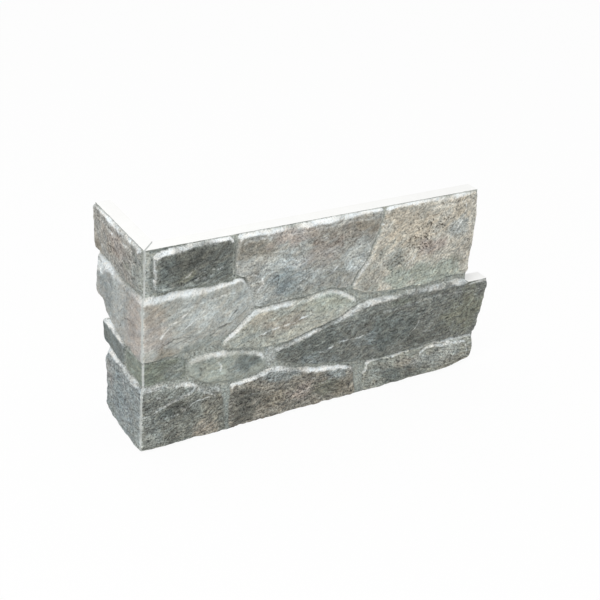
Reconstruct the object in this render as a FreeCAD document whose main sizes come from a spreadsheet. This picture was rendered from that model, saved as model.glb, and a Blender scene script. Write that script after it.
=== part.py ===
import FreeCAD, Part
import math
import os
import Sketcher
from collections import namedtuple

# Outside corner of stone-effect wall cladding. One glazed tile is cut in two, the cut ends
# are mitred at 45 degrees, and the two legs are glued round the corner of a wall.
# Millimetres, +Z up. The Z axis is the corner of the wall, where the two flat backs meet.
# The front leg runs along +X and faces -Y. The return leg runs along +Y and faces -X.

os.makedirs("parts", exist_ok=True)
doc = FreeCAD.newDocument("cladding_corner")

# Driving dimensions
SIZES = [
    ("thin_bed", 55, "height of the joint under the thin stone at the corner"),
    ("thin_course", 21, "height of the thin stone"),
    ("quoin_course", 53.5, "height of the big stone over it"),
    ("cap_course", 35.5, "height of the top stones over the big one"),
    ("lens_course", 25, "height of the pale stone's upper part, beside the big one"),
    ("base_bed", 42, "height of the joint over the middle bottom stone of the front leg"),
    ("toe_bed", 30, "height of the joint over the bottom stone at the front leg's free end"),
    ("slate_course", 51, "height of the long lower stone over it, up to the step"),
    ("body_thickness", 11, "thickness of the body in the joints between the stones"),
    ("front_upper_end", 287, "outer arris to the end of the front leg, upper courses"),
    ("front_lower_end", 311, "outer arris to the end of the front leg, long lower stone"),
    ("front_foot_end", 305, "outer arris to the end of the front leg, at its foot"),
    ("return_cap_end", 86, "outer arris to the end of the return leg, top stone"),
    ("return_quoin_end", 81, "outer arris to the end of the return leg, big stone"),
    ("return_thin_end", 68, "outer arris to the end of the return leg, thin stone"),
    ("return_foot_end", 64, "outer arris to the end of the return leg, at its foot"),
    ("first_perpend", 67, "outer arris to the first upright joint"),
    ("second_perpend", 190, "outer arris to the second upright joint"),
    ("proud_relief", 3.6, "how far the proudest stones stand out of the joints"),
    ("main_relief", 2.8, "how far the ordinary stones stand out"),
    ("low_relief", 1.4, "how far the thin stone at the corner stands out"),
    ("flake_rise", 0.8, "how far a flake stands out of the stone that carries it"),
    ("shoulder_inset", 0.32, "share of a stone's edge slope that its lower part takes"),
    ("shoulder_rise", 0.7, "share of a stone's relief that the same part climbs"),
    ("film_thickness", 1.2, "glue between the two mitred ends"),
    ("film_setback", 1.5, "how far the glue stops short of the corner of the wall"),
    ("key_pitch", 25.5, "spacing of the keying recesses on the back"),
    ("key_rib", 3, "rib between two keying recesses"),
    ("key_depth", 0.6, "depth of a keying recess"),
    ("key_margin", 7, "least plain border round the keying recesses"),
]

# Heights that follow from the courses laid one on another
HEIGHTS = [
    ("low_bed", "=thin_bed + thin_course", "height of the joint over the thin stone"),
    ("high_bed", "=low_bed + quoin_course", "height of the joint under the top stones"),
    ("tile_height", "=high_bed + cap_course", "height of the tile"),
    ("mid_bed", "=low_bed + lens_course", "height of the joint over the long pale stone"),
    ("step_height", "=toe_bed + slate_course", "height of the step in the front leg's free end"),
]

sheet = doc.addObject("Spreadsheet::Sheet", "Sizes")
for row, (alias, value, meaning) in enumerate(SIZES + HEIGHTS, start=1):
    sheet.set(f"A{row}", meaning)
    sheet.set(f"B{row}", str(value))
    sheet.setAlias(f"B{row}", alias)
doc.recompute()


class Measure:
    """A length that keeps its expression: its value in millimetres and what gives it in the sheet."""

    def __init__(self, value, text=None):
        self.value = float(value)
        self.text = text or f"({value})"

    def __add__(self, other):
        other = measure(other)
        return Measure(self.value + other.value, f"({self.text} + {other.text})")

    def __sub__(self, other):
        other = measure(other)
        return Measure(self.value - other.value, f"({self.text} - {other.text})")

    def __mul__(self, other):
        other = measure(other)
        return Measure(self.value * other.value, f"({self.text} * {other.text})")

    def __neg__(self):
        return self * -1

    def whole(self):
        """The whole number below it, and at least one."""
        return Measure(max(1, math.floor(self.value)), f"max(1; floor({self.text}))")


def measure(number):
    return number if isinstance(number, Measure) else Measure(number)


def cell(alias):
    return Measure(sheet.get(alias), f"Sizes.{alias}")


# Heights of the bed joints, the step and the top over the foot
thin = cell("thin_bed")
low = cell("low_bed")
high = cell("high_bed")
top = cell("tile_height")
mid = cell("mid_bed")
base = cell("base_bed")
toe = cell("toe_bed")
step = cell("step_height")

# Upright joints and free ends, along a leg from the outer arris
first = cell("first_perpend")
second = cell("second_perpend")
upper_end = cell("front_upper_end")
lower_end = cell("front_lower_end")
foot_end = cell("front_foot_end")
cap_end = cell("return_cap_end")
quoin_end = cell("return_quoin_end")
thin_end = cell("return_thin_end")
heel_end = cell("return_foot_end")

proud = cell("proud_relief")
main = cell("main_relief")
shallow = cell("low_relief")
flake_rise = cell("flake_rise")
thickness = cell("body_thickness")
film = cell("film_thickness")
ROOT_TWO = 2 ** 0.5

# Stones that turn the corner. Both legs and the glue between them share these edges, which
# run level for a short way on each side of the arris.
Quoin = namedtuple("Quoin", "relief bottom rise top fall")
UPPER_QUOIN = Quoin(main, low + 0.4, 1.2, high - 1, -6)
THIN_QUOIN = Quoin(shallow, thin + 1.4, 0.8, low - 0.7, -1.2)
LOWER_QUOIN = Quoin(proud, Measure(0), 1.6, thin, -4)
level_run = proud + 3

# A corner that lies in the mitred end: it follows the 45 degree cut at every height
IN_MITRE = "in the mitre"
mitre_clear = film * (1 / ROOT_TWO)


def quoin_top(quoin):
    """Two corners of the stone's top edge, from the mitre to where the level run ends."""
    return [(IN_MITRE, quoin.top, 0, quoin.fall), (level_run, quoin.top, 0, quoin.fall)]


def quoin_bottom(quoin):
    """The same for its bottom edge, in the order that closes the outline."""
    return [(level_run, quoin.bottom, 0, quoin.rise), (IN_MITRE, quoin.bottom, 0, quoin.rise)]


def toe_at(share):
    """A place along the toe stone, as a share of its length."""
    return second + (foot_end - second) * share


def beige_at(share):
    """A place along the beige stone, in the same way."""
    return second + (upper_end - second) * share


def drawn_in(corners, along, up):
    """Corners of the blank with one inset each, for a stone that reaches the free end."""
    return [(*corner, along, up) for corner in corners]


# Free ends of the two blanks, from the foot up
FRONT_END = [
    (foot_end - 24, 0),
    (foot_end - 0.5, 4),
    (foot_end + 1, 15),
    (foot_end, toe),
    (lower_end - 3, toe + 15),
    (lower_end - 0.5, step - 20),
    (lower_end, step - 0.5),
    (upper_end + 4, step + 0.5),
    (upper_end, step + 3),
    (upper_end - 0.5, mid + 4),
    (upper_end + 0.8, mid + 22),
    (upper_end, high + 12),
    (upper_end - 2, top),
]
RETURN_END = [
    (heel_end - 16, 0),
    (heel_end - 0.5, 4),
    (heel_end + 0.5, 12),
    (heel_end - 2, 22),
    (heel_end, 27),
    (heel_end - 3, thin - 17),
    (heel_end + 2.5, thin - 11.5),
    (heel_end - 4, thin + 1),
    (heel_end - 4, thin + 4.6),
    (thin_end - 1.5, thin + 6),
    (thin_end + 1, low - 0.5),
    (thin_end - 1, low + 2),
    (thin_end - 10.5, low + 6.5),
    (thin_end - 5, mid - 14),
    (quoin_end - 14, mid - 9),
    (quoin_end - 4, mid - 7.5),
    (quoin_end + 1, mid - 4),
    (quoin_end - 2.5, high - 10),
    (quoin_end - 3.5, high + 1.5),
    (cap_end - 5, high + 2.5),
    (cap_end - 1, high + 12),
    (cap_end + 1, top - 15),
    (cap_end - 0.5, top),
]

# Each stone: its name, its relief and its corners. A corner gives the foot of the stone's edge,
# along the leg and up, and how far the crown is drawn in from there, along and up.
FRONT_STONES = [
    ("cap_stone", proud, [
        (4.5, high + 1.5, 3.5, 3.5),
        (4.5, top - 3.5, 5.0, -3.2),
        (18, top - 1.5, 0.5, -4.2),
        (36, top, 0.5, -2.4),
        (first - 0.5, top, -1.4, -1.6),
        (first + 0.5, high + 1.2, -1.6, 1.0),
        (38, high + 1.0, 0, 2.6),
    ]),
    ("upper_quoin", UPPER_QUOIN.relief, quoin_top(UPPER_QUOIN) + [
        (20, high + 0.2, 0, -5.4),
        (38, high - 0.2, 0, -5.6),
        (52, high - 1.4, 0, -3.6),
        (first + 10, high + 0.3, -1.2, -1.6),
        (first + 14.5, high - 10, -1.2, 0),
        (first + 20, mid + 0.8, -1.4, 0),
        (first + 19.6, mid - 1.0, -1.4, 0.4),
        (first + 11, mid - 6.5, -1.4, 1.4),
        (first + 2, mid - 14.5, -2.0, 2.0),
        (first - 6, low + 6, -6.0, 6.0),
        (first - 7.5, low + 1.8, -6.5, 7.0),
        (30, low + 0.8, -1.5, 4.2),
    ] + quoin_bottom(UPPER_QUOIN)),
    ("thin_quoin", THIN_QUOIN.relief, quoin_top(THIN_QUOIN) + [
        (31, low - 0.5, -1.0, -1.2),
        (33, low - 8, -1.4, 0),
        (33, thin + 0.6, -1.4, 1.2),
        (20, thin + 1.2, 0, 1.0),
    ] + quoin_bottom(THIN_QUOIN)),
    ("lower_quoin", LOWER_QUOIN.relief, quoin_top(LOWER_QUOIN) + [
        (20, thin - 0.8, 0, -3.0),
        (38, thin - 4.6, -1.0, -2.8),
        (46, base + 3, -1.5, -2.8),
        (first - 6.5, base - 0.8, -1.5, -3.2),
        (first - 4, base - 4, -2.2, -1.0),
        (first - 1, 14, -3.0, 0),
        (first - 1.5, 0, -3.0, 1.6),
        (36, 0, 0, 2.4),
    ] + quoin_bottom(LOWER_QUOIN)),
    ("long_stone", main, [
        (first + 2, top, 2.6, -3.8),
        (120, top, 0, -3.8),
        (160, top, 0, -4.2),
        (second - 14, top, 0, -2.4),
        (second + 5.5, top, -1.6, -1.2),
        (second + 2.5, high + 20, -1.4, 0),
        (second - 2.4, high + 3, -1.4, 0),
        (second - 10.4, high - 12, -1.4, 0),
        (second - 18.4, mid + 0.4, -1.6, 1.2),
        (second - 28, mid + 2.0, -0.6, 1.4),
        (second - 35, mid + 4.2, 0, 1.4),
        (125, mid + 1.8, 0, 1.4),
        (first + 21, mid + 0.9, 1.2, 1.3),
        (first + 15.6, high - 9.6, 1.2, 0),
        (first + 11.2, high + 0.6, 1.2, 0.4),
        (first + 3, high + 2, 1.8, 0),
    ]),
    ("lens_stone", main, [
        (first + 21, mid - 0.3, 1.0, -4.0),
        (125, mid + 0.6, 0, -4.6),
        (second - 36, mid + 3.0, -1.0, -3.6),
        (second - 29.5, mid + 0.6, -1.6, -3.0),
        (second - 19.5, mid - 6.8, -2.0, -2.4),
        (second - 12, mid - 12, -2.8, -0.8),
        (second - 18, low + 5.5, -1.6, 1.2),
        (second - 31, low, -0.5, 1.3),
        (136, low - 5.6, 0, 1.3),
        (126, low - 8.4, 0, 1.3),
        (105, low - 10, 0, 1.4),
        (90, low - 9, 0.3, 1.4),
        (77, low - 5.4, 0.6, 1.4),
        (first - 5, low - 2.4, 2.2, 1.4),
        (first - 5.2, low + 3.6, 2.6, 0),
        (first + 3, mid - 14.8, 2.4, -2.4),
        (first + 11.6, mid - 7, 1.6, -3.4),
    ]),
    ("small_lens", main, [
        (34.3, low - 6, 2.0, -1.6),
        (40, low - 4.2, 0.6, -3.4),
        (60, low - 4.2, 0, -3.8),
        (75, low - 6.8, -0.5, -3.6),
        (92, low - 12.6, -1.5, -3.0),
        (99, low - 17, -3.4, -1.0),
        (101, base + 6, -3.6, 2.0),
        (98, base + 2, -2.0, 3.6),
        (84, base + 0.8, 0, 4.2),
        (first - 5, base + 1.2, 0, 4.4),
        (52, base + 4, 0.5, 3.4),
        (42, thin - 4, 1.0, 2.2),
        (35, thin + 1.5, 2.0, 1.2),
    ]),
    ("slate_stone", proud, [
        (108.3, thin + 4, 2.6, 1.0),
        (109, low - 12.6, 3.0, -1.6),
        (117, low - 11, 1.0, -3.6),
        (127, low - 9.6, 0.6, -3.0),
        (137, low - 6.9, 0.6, -2.4),
        (second - 30, low - 1.1, 0.8, -2.2),
        (second - 18.6, low + 4.2, 1.5, -3.0),
        (second - 10, low + 8.6, 1.5, -4.4),
        (beige_at(0.165), low + 10, 0, -4.6),
        (beige_at(0.35), low + 9.4, 0, -3.4),
        (beige_at(0.41), low + 11.4, 0.5, -4.6),
        (beige_at(0.515), low + 10.6, 0, -3.4),
        (beige_at(0.64), low + 10.2, 0, -5.0),
        (beige_at(0.92), low + 11.4, 0, -6.0),
        (*FRONT_END[8], -0.5, -3.0),
        (*FRONT_END[7], -0.5, -1.4),
        (*FRONT_END[6], -1.0, -1.0),
        (*FRONT_END[5], -1.2, 0),
        (*FRONT_END[4], -1.2, 0),
        (foot_end, toe + 0.6, -1.4, 1.2),
        (toe_at(0.74), toe + 1.6, 0, 1.2),
        (toe_at(0.54), toe + 1.2, 0, 1.2),
        (toe_at(0.43), toe + 0.6, 0, 1.4),
        (toe_at(0.09), toe + 1.0, 0, 1.8),
        (second - 4, toe + 1.4, 0, 2.0),
        (150, toe + 7.8, 0.4, 2.4),
        (130, toe + 13.6, 0.8, 2.6),
        (118, toe + 19, 1.2, 2.4),
        (110, toe + 24.5, 2.2, 1.6),
    ]),
    ("beige_stone", main, [
        (second + 6.8, top, 2.6, -1.6),
        (beige_at(0.475), top, 0, -2.2),
        (beige_at(0.6), top, 0, -4.0),
        (beige_at(0.785), top, 0, -4.0),
    ] + drawn_in(FRONT_END[12:13], -1.2, -1.2) + drawn_in(FRONT_END[11:8:-1], -1.2, 0) + [
        (upper_end - 0.3, low + 15, -1.2, 1.4),
        (beige_at(0.8), low + 16, 0, 1.4),
        (beige_at(0.62), low + 13.6, 0, 1.4),
        (beige_at(0.515), low + 12.8, 0, 1.4),
        (beige_at(0.39), low + 15.2, 0, 1.4),
        (beige_at(0.26), low + 13.8, 0, 1.4),
        (second + 1, low + 16.2, 0, 1.8),
        (second - 9, mid - 6, 1.2, 1.8),
        (second - 16.4, mid - 0.6, 2.8, 0.6),
        (second - 8.8, high - 12.4, 3.6, 0),
        (second - 0.8, high + 2.6, 3.6, 0),
        (second + 4.0, high + 20, 3.4, 0),
    ]),
    ("base_stone", main, [
        (first + 3, base - 1, 1.2, -3.2),
        (88, base - 1, 0, -3.2),
        (97, base + 1, 0.5, -3.6),
        (103, base + 4.2, 0, -4.6),
        (110, base + 3.8, 0, -4.6),
        (126, base - 0.8, 0, -4.4),
        (150, base - 7.2, 0, -4.0),
        (166, base - 9.4, 0, -3.0),
        (176, base - 11.6, -0.5, -2.6),
        (second - 8.5, base - 14.8, -1.8, -1.6),
        (second - 5, 14, -2.2, 0),
        (second - 2.5, 0, -2.2, 1.6),
        (130, 0, 0, 1.8),
        (first + 3, 0, 1.6, 1.4),
    ]),
    ("toe_stone", main, [
        (second + 3.5, toe - 1, 2.2, -1.2),
        (toe_at(0.35), toe - 1, 0, -1.2),
        (toe_at(0.54), toe, 0, -1.2),
        (toe_at(0.74), toe + 0.4, 0, -1.2),
        (foot_end - 1, toe - 0.8, -1.2, -2.4),
        (*FRONT_END[2], -1.2, 0),
        (*FRONT_END[1], -1.4, 1.4),
        (*FRONT_END[0], 0, 1.8),
        (toe_at(0.37), 0, 0, 2.4),
        (second + 4, 0, 1.8, 1.4),
        (second + 2, 15, 2.2, 0),
    ]),
]
RETURN_STONES = [
    ("cap_stone", main, [
        (1.3, top, 5.3, -2.4),
        (cap_end - 32, top, 0, -3.2),
        (cap_end - 18, top, 0, -1.6),
    ] + drawn_in(RETURN_END[:20:-1], -1.4, -1.0) + [
        (*RETURN_END[20], -1.4, 0),
        (*RETURN_END[19], -1.4, 1.6),
        (quoin_end - 5, high + 2.6, 0, 1.8),
        (48, high + 0.6, 0, 1.8),
        (36, high - 0.6, 0, 1.8),
        (1.3, high + 0.2, 5.2, 1.8),
    ]),
    ("upper_quoin", UPPER_QUOIN.relief, quoin_top(UPPER_QUOIN) + [
        (36, high - 1.8, 0, -4.0),
        (48, high - 0.6, 0, -6.4),
        (quoin_end - 15, high + 0.6, -1.0, -7.4),
        (*RETURN_END[18], -1.4, -3.0),
        (*RETURN_END[17], -1.4, 0),
        (*RETURN_END[16], -1.4, 0.4),
        (*RETURN_END[15], -1.0, 1.2),
        (*RETURN_END[14], -1.2, 1.2),
        (*RETURN_END[13], -1.2, 1.2),
        (thin_end - 11, low + 7, -1.4, 1.4),
        (thin_end - 24, low + 4.6, 0, 1.4),
        (30, low + 0.8, 0, 1.4),
    ] + quoin_bottom(UPPER_QUOIN)),
    ("thin_quoin", THIN_QUOIN.relief, quoin_top(THIN_QUOIN) + [
        (27, low - 0.6, -1.2, -1.6),
        (28, thin + 8, -1.4, 0),
        (27, thin + 2.2, -1.2, 1.0),
    ] + quoin_bottom(THIN_QUOIN)),
    ("thin_end_stone", main, [
        (29, low - 0.4, 1.4, -2.2),
        (thin_end - 24, low + 3.6, 0, -5.0),
        (thin_end - 11.5, low + 5.6, 0, -6.0),
        (*RETURN_END[11], -1.2, -3.0),
        (*RETURN_END[10], -1.4, -0.8),
        (*RETURN_END[9], -1.4, 1.2),
        (heel_end - 4.2, thin + 5, -0.6, 1.2),
        (36, thin + 2.8, 0, 1.2),
        (29, thin + 2.4, 1.4, 1.2),
    ]),
    ("lower_quoin", LOWER_QUOIN.relief, quoin_top(LOWER_QUOIN) + [
        (34, thin + 1.2, 0, -3.4),
        (heel_end - 5, thin + 3.4, -1.0, -6.0),
        (*RETURN_END[7], -1.2, -4.0),
        (*RETURN_END[6], -1.6, -0.6),
        (*RETURN_END[5], -1.4, 0),
        (*RETURN_END[4], -1.4, 0),
        (*RETURN_END[3], -1.4, 0),
        (*RETURN_END[2], -1.6, 0),
        (*RETURN_END[1], -1.6, 1.4),
        (*RETURN_END[0], 0, 2.0),
    ] + quoin_bottom(LOWER_QUOIN)),
]

# Flakes left standing on the crowns: the stone's relief, then corners as above
FRONT_FLAKES = [
    ("lower_quoin_flake", proud, [
        (7, 5, 1, 1),
        (6, base - 7, 1, -1),
        (24, base - 0.5, 0, -1.6),
        (35, base + 2.4, 0, -1.8),
        (39.5, base + 5.6, -1.0, -1.8),
        (48, base - 0.6, -1, -1),
        (first - 9, base - 5, -1, -1),
        (first - 6.5, 14, -1, 0),
        (first - 7.5, 5, -1, 1),
    ]),
    ("toe_flake", main, [
        (toe_at(0.49), toe - 8, 1.4, 0),
        (toe_at(0.55), toe - 2.4, 0.6, -1.6),
        (toe_at(0.73), toe - 1.8, 0, -1.8),
        (foot_end - 8, toe - 5.5, -0.5, -1.6),
        (foot_end - 3, 8, -1, 0),
        (toe_at(0.78), 4.5, 0, 1),
        (toe_at(0.63), 5.5, 0.6, 1),
        (toe_at(0.58), 11, 1.6, 0),
    ]),
    ("long_flake", main, [
        (first + 7, high + 20, 0.6, 0),
        (first + 7, top - 6, 0.6, -0.8),
        (160, top - 6, 0, -0.8),
        (second - 3, top - 5.2, -0.8, -0.8),
        (second - 4, high + 18, -0.6, 1.2),
        (155, high + 15, 0, 1.4),
        (118, high + 11, 0, 1.4),
        (95, high + 17, 0, 1.4),
    ]),
    ("beige_flake", main, [
        (beige_at(0.455), high + 18, 1.6, 0.4),
        (beige_at(0.545), top - 6.5, 1.0, -1.0),
        (beige_at(0.785), top - 6.5, 0, -1.0),
        (upper_end - 5, top - 5, -1, -0.8),
        (upper_end - 4, high - 8, -1, 0),
        (beige_at(0.74), high - 16, 0, 1.2),
        (beige_at(0.545), high - 10, 1, 1),
        (beige_at(0.435), high + 4, 1.6, 0),
    ]),
    ("slate_flake", proud, [
        (second + 12, low - 3, 1.4, -0.8),
        (beige_at(0.33), low - 1.6, 0, -1.4),
        (beige_at(0.575), low + 1.4, 0, -1.2),
        (lower_end - 8, low - 0.8, -1, -0.8),
        (lower_end - 9, toe + 17, -1, 0),
        (foot_end - 20, toe + 6, 0, 1.2),
        (toe_at(0.43), toe + 8, 0, 1.2),
        (second + 22, toe + 20, 1.6, 0),
    ]),
    ("quoin_flake", main, [
        (10, mid + 7, 0.8, -0.4),
        (24, mid + 14, 0, -1.0),
        (first, high - 8, -0.8, -1),
        (first + 11, high - 14, -1, 0),
        (first + 14, mid + 3, -1, 0.6),
        (first + 1, mid - 6, -0.6, 1),
        (38, low + 15, 0, 1.2),
        (15, low + 9, 0.6, 1),
    ]),
]
RETURN_FLAKES = [
    ("cap_flake", main, [
        (11, high + 8, 0.8, 0.8),
        (11, top - 7, 0.8, -0.8),
        (cap_end - 38, top - 7.5, 0, -0.8),
        (cap_end - 8, top - 5, -0.8, -0.8),
        (cap_end - 7, high + 17, -0.8, 0.6),
        (cap_end - 28, high + 10, 0, 1.4),
        (40, high + 13, 0, 1.2),
    ]),
]


def check(feature):
    """Stop where a feature has failed or has no shape."""
    doc.recompute()
    failed = {"Invalid", "Error"} & set(feature.State)
    if failed or feature.Shape.isNull() or not feature.Shape.isValid():
        raise RuntimeError(f"{feature.Label} did not build")
    return feature


def new_body(label):
    """A body whose own origin is the foot of the outer arris, placed from the corner of the wall."""
    body = doc.addObject("PartDesign::Body", label)
    body.Label = label
    body.setExpression("Placement.Base.x", "-Sizes.body_thickness")
    body.setExpression("Placement.Base.y", "-Sizes.body_thickness")
    return body


def outline_sketch(body, name, plane, lift, corners, turn=0):
    """A closed outline on one of the body's planes, with every corner bound to the sheet."""
    sketch = body.newObject("Sketcher::SketchObject", name)
    support = next(item for item in body.Origin.OriginFeatures if item.Role == plane)
    sketch.AttachmentSupport = [(support, "")]
    sketch.MapMode = "FlatFace"
    sketch.AttachmentOffset = FreeCAD.Placement(
        FreeCAD.Vector(), FreeCAD.Rotation(FreeCAD.Vector(0, 1, 0), turn)
    )
    sketch.setExpression("AttachmentOffset.Base.z", lift.text)
    pairs = [(measure(along), measure(up)) for along, up in corners]
    points = [FreeCAD.Vector(along.value, up.value, 0) for along, up in pairs]
    count = len(points)
    lines = [Part.LineSegment(points[i], points[(i + 1) % count]) for i in range(count)]
    sketch.addGeometry(lines, False)
    constraints = []
    for i, point in enumerate(points):
        constraints.append(Sketcher.Constraint("Coincident", i, 2, (i + 1) % count, 1))
        constraints.append(Sketcher.Constraint("DistanceX", -1, 1, i, 1, point.x))
        constraints.append(Sketcher.Constraint("DistanceY", -1, 1, i, 1, point.y))
    sketch.addConstraint(constraints)
    for i, (along, up) in enumerate(pairs):
        sketch.setExpression(f"Constraints[{3 * i + 1}]", along.text)
        sketch.setExpression(f"Constraints[{3 * i + 2}]", up.text)
    return sketch


def raised(body, name, plane, outward, levels):
    """A solid with sloping edges through two or more outlines at their own heights."""
    sketches = [
        outline_sketch(body, f"{name}_{number}", plane, height * outward, corners)
        for number, (height, corners) in enumerate(levels)
    ]
    loft = body.newObject("PartDesign::AdditiveLoft", name)
    loft.Profile = sketches[0]
    loft.Sections = sketches[1:]
    loft.Ruled = True
    loft.Refine = False
    return loft


def level(corners, height, share):
    """One level of a stone: its height over the joints and its corners, drawn in by a share."""
    outline = []
    for along, up, inward, upward in corners:
        if along is IN_MITRE:
            place = mitre_clear - height
        else:
            place = measure(along) + measure(inward) * share
        outline.append((place, measure(up) + measure(upward) * share))
    return height, outline


def lay_stone(body, plane, outward, name, relief, corners):
    """A stone: steep at its foot, rounder at its shoulder, flat on its crown."""
    levels = [
        level(corners, Measure(0), Measure(0)),
        level(corners, relief * cell("shoulder_rise"), cell("shoulder_inset")),
        level(corners, relief, Measure(1)),
    ]
    return raised(body, name, plane, outward, levels)


def lay_flake(body, plane, outward, name, relief, corners):
    """A flake: one slope up from the crown that carries it."""
    levels = [
        level(corners, relief, Measure(0)),
        level(corners, relief + flake_rise, Measure(1)),
    ]
    return raised(body, name, plane, outward, levels)


def cut_mitre(body, swap):
    """Cut the blank at 45 degrees, half the glue's thickness short of the plane between the legs."""
    outside = Measure(-2)
    inside = thickness + 2
    corners = [
        (outside + mitre_clear, outside),
        (inside + mitre_clear, inside),
        (outside - 2, inside),
        (outside - 2, outside),
    ]
    if swap:
        corners = [(across, along) for along, across in corners]
    before = check(body).Shape.Volume
    sketch = outline_sketch(body, "mitre_outline", "XY_Plane", Measure(-1), corners)
    mitre = body.newObject("PartDesign::Pocket", "mitre")
    mitre.Profile = sketch
    mitre.Reversed = True
    mitre.Refine = False
    mitre.setExpression("Length", (top + 2).text)
    check(mitre)
    if body.Shape.Volume >= before:
        raise RuntimeError("the mitre cut nothing")


def cut_keys(body, plane, outward, end):
    """Shallow square recesses in the back, which key the tile to its bed of adhesive."""
    margin = cell("key_margin")
    pitch = cell("key_pitch")
    rib = cell("key_rib")
    side = pitch - rib
    run = end - thickness - margin * 2
    rise = top - margin * 2
    columns = ((run + rib) * Measure(1 / pitch.value, f"(1 / {pitch.text})")).whole()
    rows = ((rise + rib) * Measure(1 / pitch.value, f"(1 / {pitch.text})")).whole()
    start = thickness + margin
    foot = (top - rows * pitch + rib) * 0.5
    corners = [(start, foot), (start + side, foot), (start + side, foot + side), (start, foot + side)]
    before = check(body).Shape.Volume
    sketch = outline_sketch(body, "key_outline", plane, -thickness * outward, corners)
    key = body.newObject("PartDesign::Pocket", "key")
    key.Profile = sketch
    key.Reversed = outward > 0
    key.Refine = False
    key.setExpression("Length", "Sizes.key_depth")
    check(key)
    keys = body.newObject("PartDesign::LinearPattern", "keys")
    keys.Originals = [key]
    keys.Refine = False
    keys.Direction = (sketch, ["H_Axis"])
    keys.Direction2 = (sketch, ["V_Axis"])
    keys.Mode = "Spacing"
    keys.Mode2 = "Spacing"
    keys.setExpression("Offset", pitch.text)
    keys.setExpression("Offset2", pitch.text)
    keys.setExpression("Occurrences", columns.text)
    keys.setExpression("Occurrences2", rows.text)
    body.Tip = keys
    check(keys)
    if body.Shape.Volume >= before:
        raise RuntimeError("the keying recesses cut nothing")


def make_leg(label, plane, outward, free_end, stones, flakes, shortest_end):
    """One leg: the pressed blank, its stones and flakes, the mitred end and the keyed back."""
    body = new_body(label)
    blank_corners = [(0, 0)] + free_end + [(0, top)]
    blank_outline = outline_sketch(body, "blank_outline", plane, Measure(0), blank_corners)
    blank = body.newObject("PartDesign::Pad", "blank")
    blank.Profile = blank_outline
    blank.Reversed = outward > 0
    blank.Refine = False
    blank.setExpression("Length", "Sizes.body_thickness")
    cut_mitre(body, swap=outward < 0)
    for name, relief, corners in stones:
        lay_stone(body, plane, outward, name, relief, corners)
    for name, relief, corners in flakes:
        lay_flake(body, plane, outward, name, relief, corners)
    cut_keys(body, plane, outward, shortest_end)
    return body


def quoin_profile(quoin):
    """Edge of the glue along one stone that turns the corner, from its bottom to its top."""
    shoulder = cell("shoulder_inset")
    rise = cell("shoulder_rise")
    heights = [
        (Measure(0), quoin.bottom),
        (quoin.relief * rise, quoin.bottom + shoulder * quoin.rise),
        (quoin.relief, quoin.bottom + quoin.rise),
        (quoin.relief, quoin.top + quoin.fall),
        (quoin.relief * rise, quoin.top + shoulder * quoin.fall),
        (Measure(0), quoin.top),
    ]
    return [(film * 0.5 - relief * ROOT_TWO, height) for relief, height in heights]


def make_film():
    """The glue: as thick as the gap, flush with the stones at the arris, set back from the wall."""
    body = new_body("mitre_adhesive")
    inner = (thickness - cell("film_setback")) * ROOT_TWO
    corners = [(inner, top), (inner, 0)]
    for quoin in (LOWER_QUOIN, THIN_QUOIN, UPPER_QUOIN):
        corners += quoin_profile(quoin)
    corners.append((film * 0.5, top))
    outline = outline_sketch(body, "film_outline", "XZ_Plane", Measure(0), corners, turn=45)
    pad = body.newObject("PartDesign::Pad", "film")
    pad.Profile = outline
    pad.SideType = "Symmetric"
    pad.setExpression("Length", "Sizes.film_thickness")
    return body


bodies = [
    make_leg("front_leg", "XZ_Plane", 1, FRONT_END, FRONT_STONES, FRONT_FLAKES, upper_end),
    make_leg("return_leg", "YZ_Plane", -1, RETURN_END, RETURN_STONES, RETURN_FLAKES, heel_end - 4),
    make_film(),
]
doc.recompute()

# Every feature has to be sound before anything is written
for item in doc.Objects:
    if {"Invalid", "Error"} & set(item.State):
        raise RuntimeError(f"{item.Label} did not build")
for body in bodies:
    check(body)
    if len(body.Shape.Solids) != 1:
        raise RuntimeError(f"{body.Label} is not one solid")
for body in bodies:
    body.Shape.exportStep(f"parts/{body.Label}.step")
    print(f"{body.Label}: {body.Shape.Volume / 1000:.1f} cubic centimetres")
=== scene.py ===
# %% [markdown]
# # Stone-effect cladding corner
# This object is a wall tile of glazed porcelain, pressed to look like a small dry-stone wall, cut in
# two and glued round a right angle. Everything below is worked out on a flat sheet of the tile and
# then laid on the two legs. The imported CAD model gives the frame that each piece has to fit.

# %% Load the frame
import math
from collections import namedtuple

import bpy
import numpy as np
from mathutils import Matrix
from mathutils.geometry import tessellate_polygon


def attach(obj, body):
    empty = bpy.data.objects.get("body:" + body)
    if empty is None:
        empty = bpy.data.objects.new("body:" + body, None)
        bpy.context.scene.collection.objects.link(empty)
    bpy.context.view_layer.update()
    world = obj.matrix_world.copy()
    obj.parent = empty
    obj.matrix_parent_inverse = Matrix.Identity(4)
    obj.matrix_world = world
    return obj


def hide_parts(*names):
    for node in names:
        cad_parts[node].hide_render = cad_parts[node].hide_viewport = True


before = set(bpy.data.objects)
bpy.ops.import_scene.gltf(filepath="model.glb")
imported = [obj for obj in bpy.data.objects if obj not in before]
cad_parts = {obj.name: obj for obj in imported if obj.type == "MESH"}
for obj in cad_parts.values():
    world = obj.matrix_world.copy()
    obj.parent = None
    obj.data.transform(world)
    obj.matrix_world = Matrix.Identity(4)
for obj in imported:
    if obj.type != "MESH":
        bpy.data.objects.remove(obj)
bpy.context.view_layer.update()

MM = 0.001

# %% [markdown]
# ## The camera
# The photograph was matched with a lens of about 68 mm, held about 0.84 m away and well above the
# tile, and turned a little about its own axis. A camera in Blender looks along its own -Z, so it is
# first tipped up from the floor, then turned about the upright, and rolled about its line of sight.

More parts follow.
